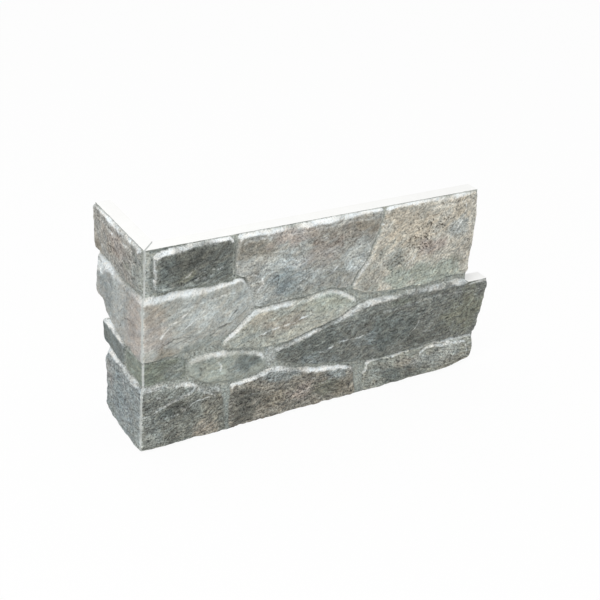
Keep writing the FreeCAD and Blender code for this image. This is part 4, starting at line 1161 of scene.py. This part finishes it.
def leg_surface(leg):
    """Points, faces and glaze of one leg, in sheet places: along, up and outward, in mm."""
    along, up = sheet_grid(leg)
    face, looks = glazed_face(leg, along, up)
    back_lean = np.clip(1 - along / (4 * BODY), 0, 1)
    back = np.stack([along + (CLEAR + BODY) * back_lean, up, np.full_like(up, -BODY)], -1)
    parts = (np.arange(1, WALL_ROWS + 1) / WALL_ROWS)[:, None, None]
    walls = rim_of(face) * (1 - parts) + rim_of(back) * parts
    keys = keyed_back(leg)
    points = np.concatenate([part.reshape(-1, 3) for part in (face, walls, keys)])

    numbers = numbered(*up.shape)
    wall_numbers = numbered(*walls.shape[:2], numbers.size)
    key_numbers = numbered(*keys.shape[:2], numbers.size + wall_numbers.size)
    rings = np.vstack([rim_of(numbers), wall_numbers])
    turned = np.roll(rings, -1, axis=1)
    wall_faces = np.stack([rings[1:], turned[1:], turned[:-1], rings[:-1]], -1).reshape(-1, 4)
    border = filled_ring(points, rings[-1], rim_of(key_numbers))
    return points, [cells_of(numbers), wall_faces, cells_of(key_numbers)[:, ::-1], border], looks


print("recesses", KEY_PITCH - KEY_RIB, "mm square and", KEY_DEPTH, "mm deep")

# %% [markdown]
# ## Laying the sheet on the corner
# The front leg runs along X and the return leg along Y, so the second is a mirror image of the
# first, and its faces are turned round to point outwards. Each place's looks go into attributes of
# the mesh, which the glaze reads. The face gets the glaze and the rest gets the bare body.

# %% Legs
SHARP_FROM = 48


def lay_on_leg(leg, points):
    """From sheet places to the CAD frame, in metres: the front leg runs along +X, the other +Y."""
    along, up, outward = points.T
    if leg.side > 0:
        return np.stack([along - BODY, -BODY - outward, up], -1) * MM
    return np.stack([-BODY - outward, along - BODY, up], -1) * MM


def make_leg(leg):
    """One leg as a closed mesh that stands for its CAD node. It gives back its first column."""
    points, face_sets, looks = leg_surface(leg)
    if leg.side < 0:
        face_sets = [faces[:, ::-1] for faces in face_sets]
    mesh = bpy.data.meshes.new(f"glazed_{leg.node}")
    faces = sum((faces.tolist() for faces in face_sets), [])
    mesh.from_pydata(lay_on_leg(leg, points), [], faces)
    mesh.materials.append(GLAZE)
    mesh.materials.append(BISCUIT)
    slots = np.ones(len(faces), np.int32)
    slots[:len(face_sets[0])] = 0
    mesh.polygons.foreach_set("material_index", slots)
    looks["layers"] = looks["layers"] * MM
    for name, values in looks.items():
        width = 3 if values.ndim == 3 else 1
        padded = np.zeros((len(points), width))
        padded[:looks["grain"].size] = values.reshape(-1, width)
        kind, field = ("FLOAT_VECTOR", "vector") if width == 3 else ("FLOAT", "value")
        mesh.attributes.new(name, kind, "POINT").data.foreach_set(field, padded.ravel())
    mesh.shade_smooth()
    mesh.set_sharp_from_angle(angle=math.radians(SHARP_FROM))
    mesh.validate()
    piece = bpy.data.objects.new(f"glazed_{leg.node}", mesh)
    bpy.context.scene.collection.objects.link(piece)
    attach(piece, "root")
    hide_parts(leg.node)
    triangles = sum(len(p.vertices) - 2 for p in mesh.polygons)
    print(piece.name, "triangles", triangles, "tallest", round(float(points[:, 2].max()), 2), "mm")
    return points[:looks["grain"].size:looks["grain"].shape[1]]


arris = make_leg(FRONT_LEG)
other_arris = make_leg(RETURN_LEG)
print("the two cut ends differ by up to", round(float(np.ptp(arris - other_arris, axis=0)[2]), 2), "mm")

# %% [markdown]
# ## The glue in the mitre
# Glue fills the gap between the two cut ends and shows as a thin pale line down the arris. It is a
# strip swept up the corner: its outer edge follows the height of the stones beside it, so it is made
# from the first column of the leg's own grid, and its inner edge stops short of the wall.

# %% Glue
BEAD = np.array([-1.0, -0.5, 0.0, 0.5, 1.0])
CROWNING = 0.2


def make_glue():
    """Section across the mitre, carried up the arris: bead outside, flat film inside."""
    height = arris[:, 2]
    outward = height * math.sqrt(2) - FILM / 2
    inner = -(BODY - SETBACK) * math.sqrt(2)
    across = np.concatenate([BEAD, [1.0, -1.0]]) * FILM / 2
    bulge = CROWNING * (1 - BEAD**2)
    section = np.concatenate([outward[:, None] + bulge, np.full((len(arris), 2), inner)], 1)
    along_x = -BODY + (-section + across) / math.sqrt(2)
    along_y = -BODY + (-section - across) / math.sqrt(2)
    rise = np.repeat(arris[:, 1:2], section.shape[1], 1)
    points = np.stack([along_x, along_y, rise], -1).reshape(-1, 3)
    index = numbered(*section.shape)
    sides = cells_of(np.concatenate([index, index[:, :1]], 1))
    faces = sides.tolist() + [index[0, ::-1].tolist(), index[-1].tolist()]
    mesh = bpy.data.meshes.new("mitre_glue")
    mesh.from_pydata(points * MM, [], faces)
    mesh.materials.append(EPOXY)
    mesh.shade_smooth()
    mesh.set_sharp_from_angle(angle=math.radians(40))
    mesh.validate()
    piece = bpy.data.objects.new("mitre_glue", mesh)
    bpy.context.scene.collection.objects.link(piece)
    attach(piece, "root")
    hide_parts("mitre_adhesive")
    print("glue has", len(arris), "rows")


make_glue()

# %% [markdown]
# ## Floor and light
# The tile stands on plain white, and the photograph shows hardly any shadow. The world is white for
# the camera and a little dimmer for the light that it gives. A large soft lamp above and in front
# adds the direction that makes the relief read. The floor is mixed with plain white for the camera.

# %% Stage
FLOOR_SIZE = 8.0
WORLD_LIGHT = 0.72
LAMP_POWER = 9.0
FLOOR_WHITENESS = 0.93


def make_world():
    """White to the camera and through glass, dimmer as a light and in reflections."""
    world = bpy.data.worlds.new("white_room")
    world.use_nodes = True
    world.node_tree.nodes.clear()
    path = add_node(world, "ShaderNodeLightPath", (-600, 200))
    seen = add_node(world, "ShaderNodeMath", (-400, 200), {"operation": "MAXIMUM"}, {
        0: path.outputs["Is Camera Ray"], 1: path.outputs["Is Transmission Ray"]})
    lit = add_node(world, "ShaderNodeBackground", (-400, 0), {
        "Strength": WORLD_LIGHT, "Color": (1, 1, 1, 1)})
    plain = add_node(world, "ShaderNodeBackground", (-400, -200), {"Color": (1, 1, 1, 1)})
    blend = add_node(world, "ShaderNodeMixShader", (-200, 0), {}, {
        0: seen.outputs[0], 1: lit.outputs[0], 2: plain.outputs[0]})
    add_node(world, "ShaderNodeOutputWorld", (0, 0), {}, {"Surface": blend.outputs[0]})
    bpy.context.scene.world = world


def make_floor():
    """A wide white plane just under the tile."""
    half = FLOOR_SIZE / 2
    mesh = bpy.data.meshes.new("floor")
    corners = [(-half, -half, 0), (half, -half, 0), (half, half, 0), (-half, half, 0)]
    mesh.from_pydata(corners, [], [(0, 1, 2, 3)])
    material, shader = new_material("white_floor")
    shader.inputs["Base Color"].default_value = (*linear("#F4F4F3"), 1)
    shader.inputs["Roughness"].default_value = 0.9
    shader.inputs["Specular IOR Level"].default_value = 0.0
    path = add_node(material, "ShaderNodeLightPath", (-400, 200))
    share = add_node(material, "ShaderNodeMath", (-200, 200), {
        "operation": "MULTIPLY", 1: FLOOR_WHITENESS}, {0: path.outputs["Is Camera Ray"]})
    plain = add_node(material, "ShaderNodeEmission", (-200, -300))
    blend = add_node(material, "ShaderNodeMixShader", (300, 0), {}, {
        0: share.outputs[0], 1: shader.outputs[0], 2: plain.outputs[0]})
    output = material.node_tree.nodes["Material Output"]
    material.node_tree.links.new(blend.outputs[0], output.inputs["Surface"])
    mesh.materials.append(material)
    floor = bpy.data.objects.new("floor", mesh)
    bpy.context.scene.collection.objects.link(floor)


def make_lamp(name, place, aim, size, power):
    """A square soft lamp that looks at a point: its -Z is turned along the line to it."""
    data = bpy.data.lights.new(name, "AREA")
    data.shape = "SQUARE"
    data.size = size
    data.energy = power
    lamp = bpy.data.objects.new(name, data)
    direction = np.array(aim) - np.array(place)
    sideways = math.atan2(direction[0], direction[1])
    down = math.atan2(-direction[2], math.hypot(direction[0], direction[1]))
    turn = Matrix.Rotation(-sideways, 4, "Z") @ Matrix.Rotation(math.radians(90) - down, 4, "X")
    lamp.matrix_world = Matrix.Translation(place) @ turn
    bpy.context.scene.collection.objects.link(lamp)


make_world()
make_floor()
make_lamp("overhead", (-0.45, -0.55, 1.35), (0.12, 0, 0.08), 0.8, LAMP_POWER)
bpy.context.scene.view_settings.view_transform = "Standard"
print("lamp", LAMP_POWER, "W, world", WORLD_LIGHT)
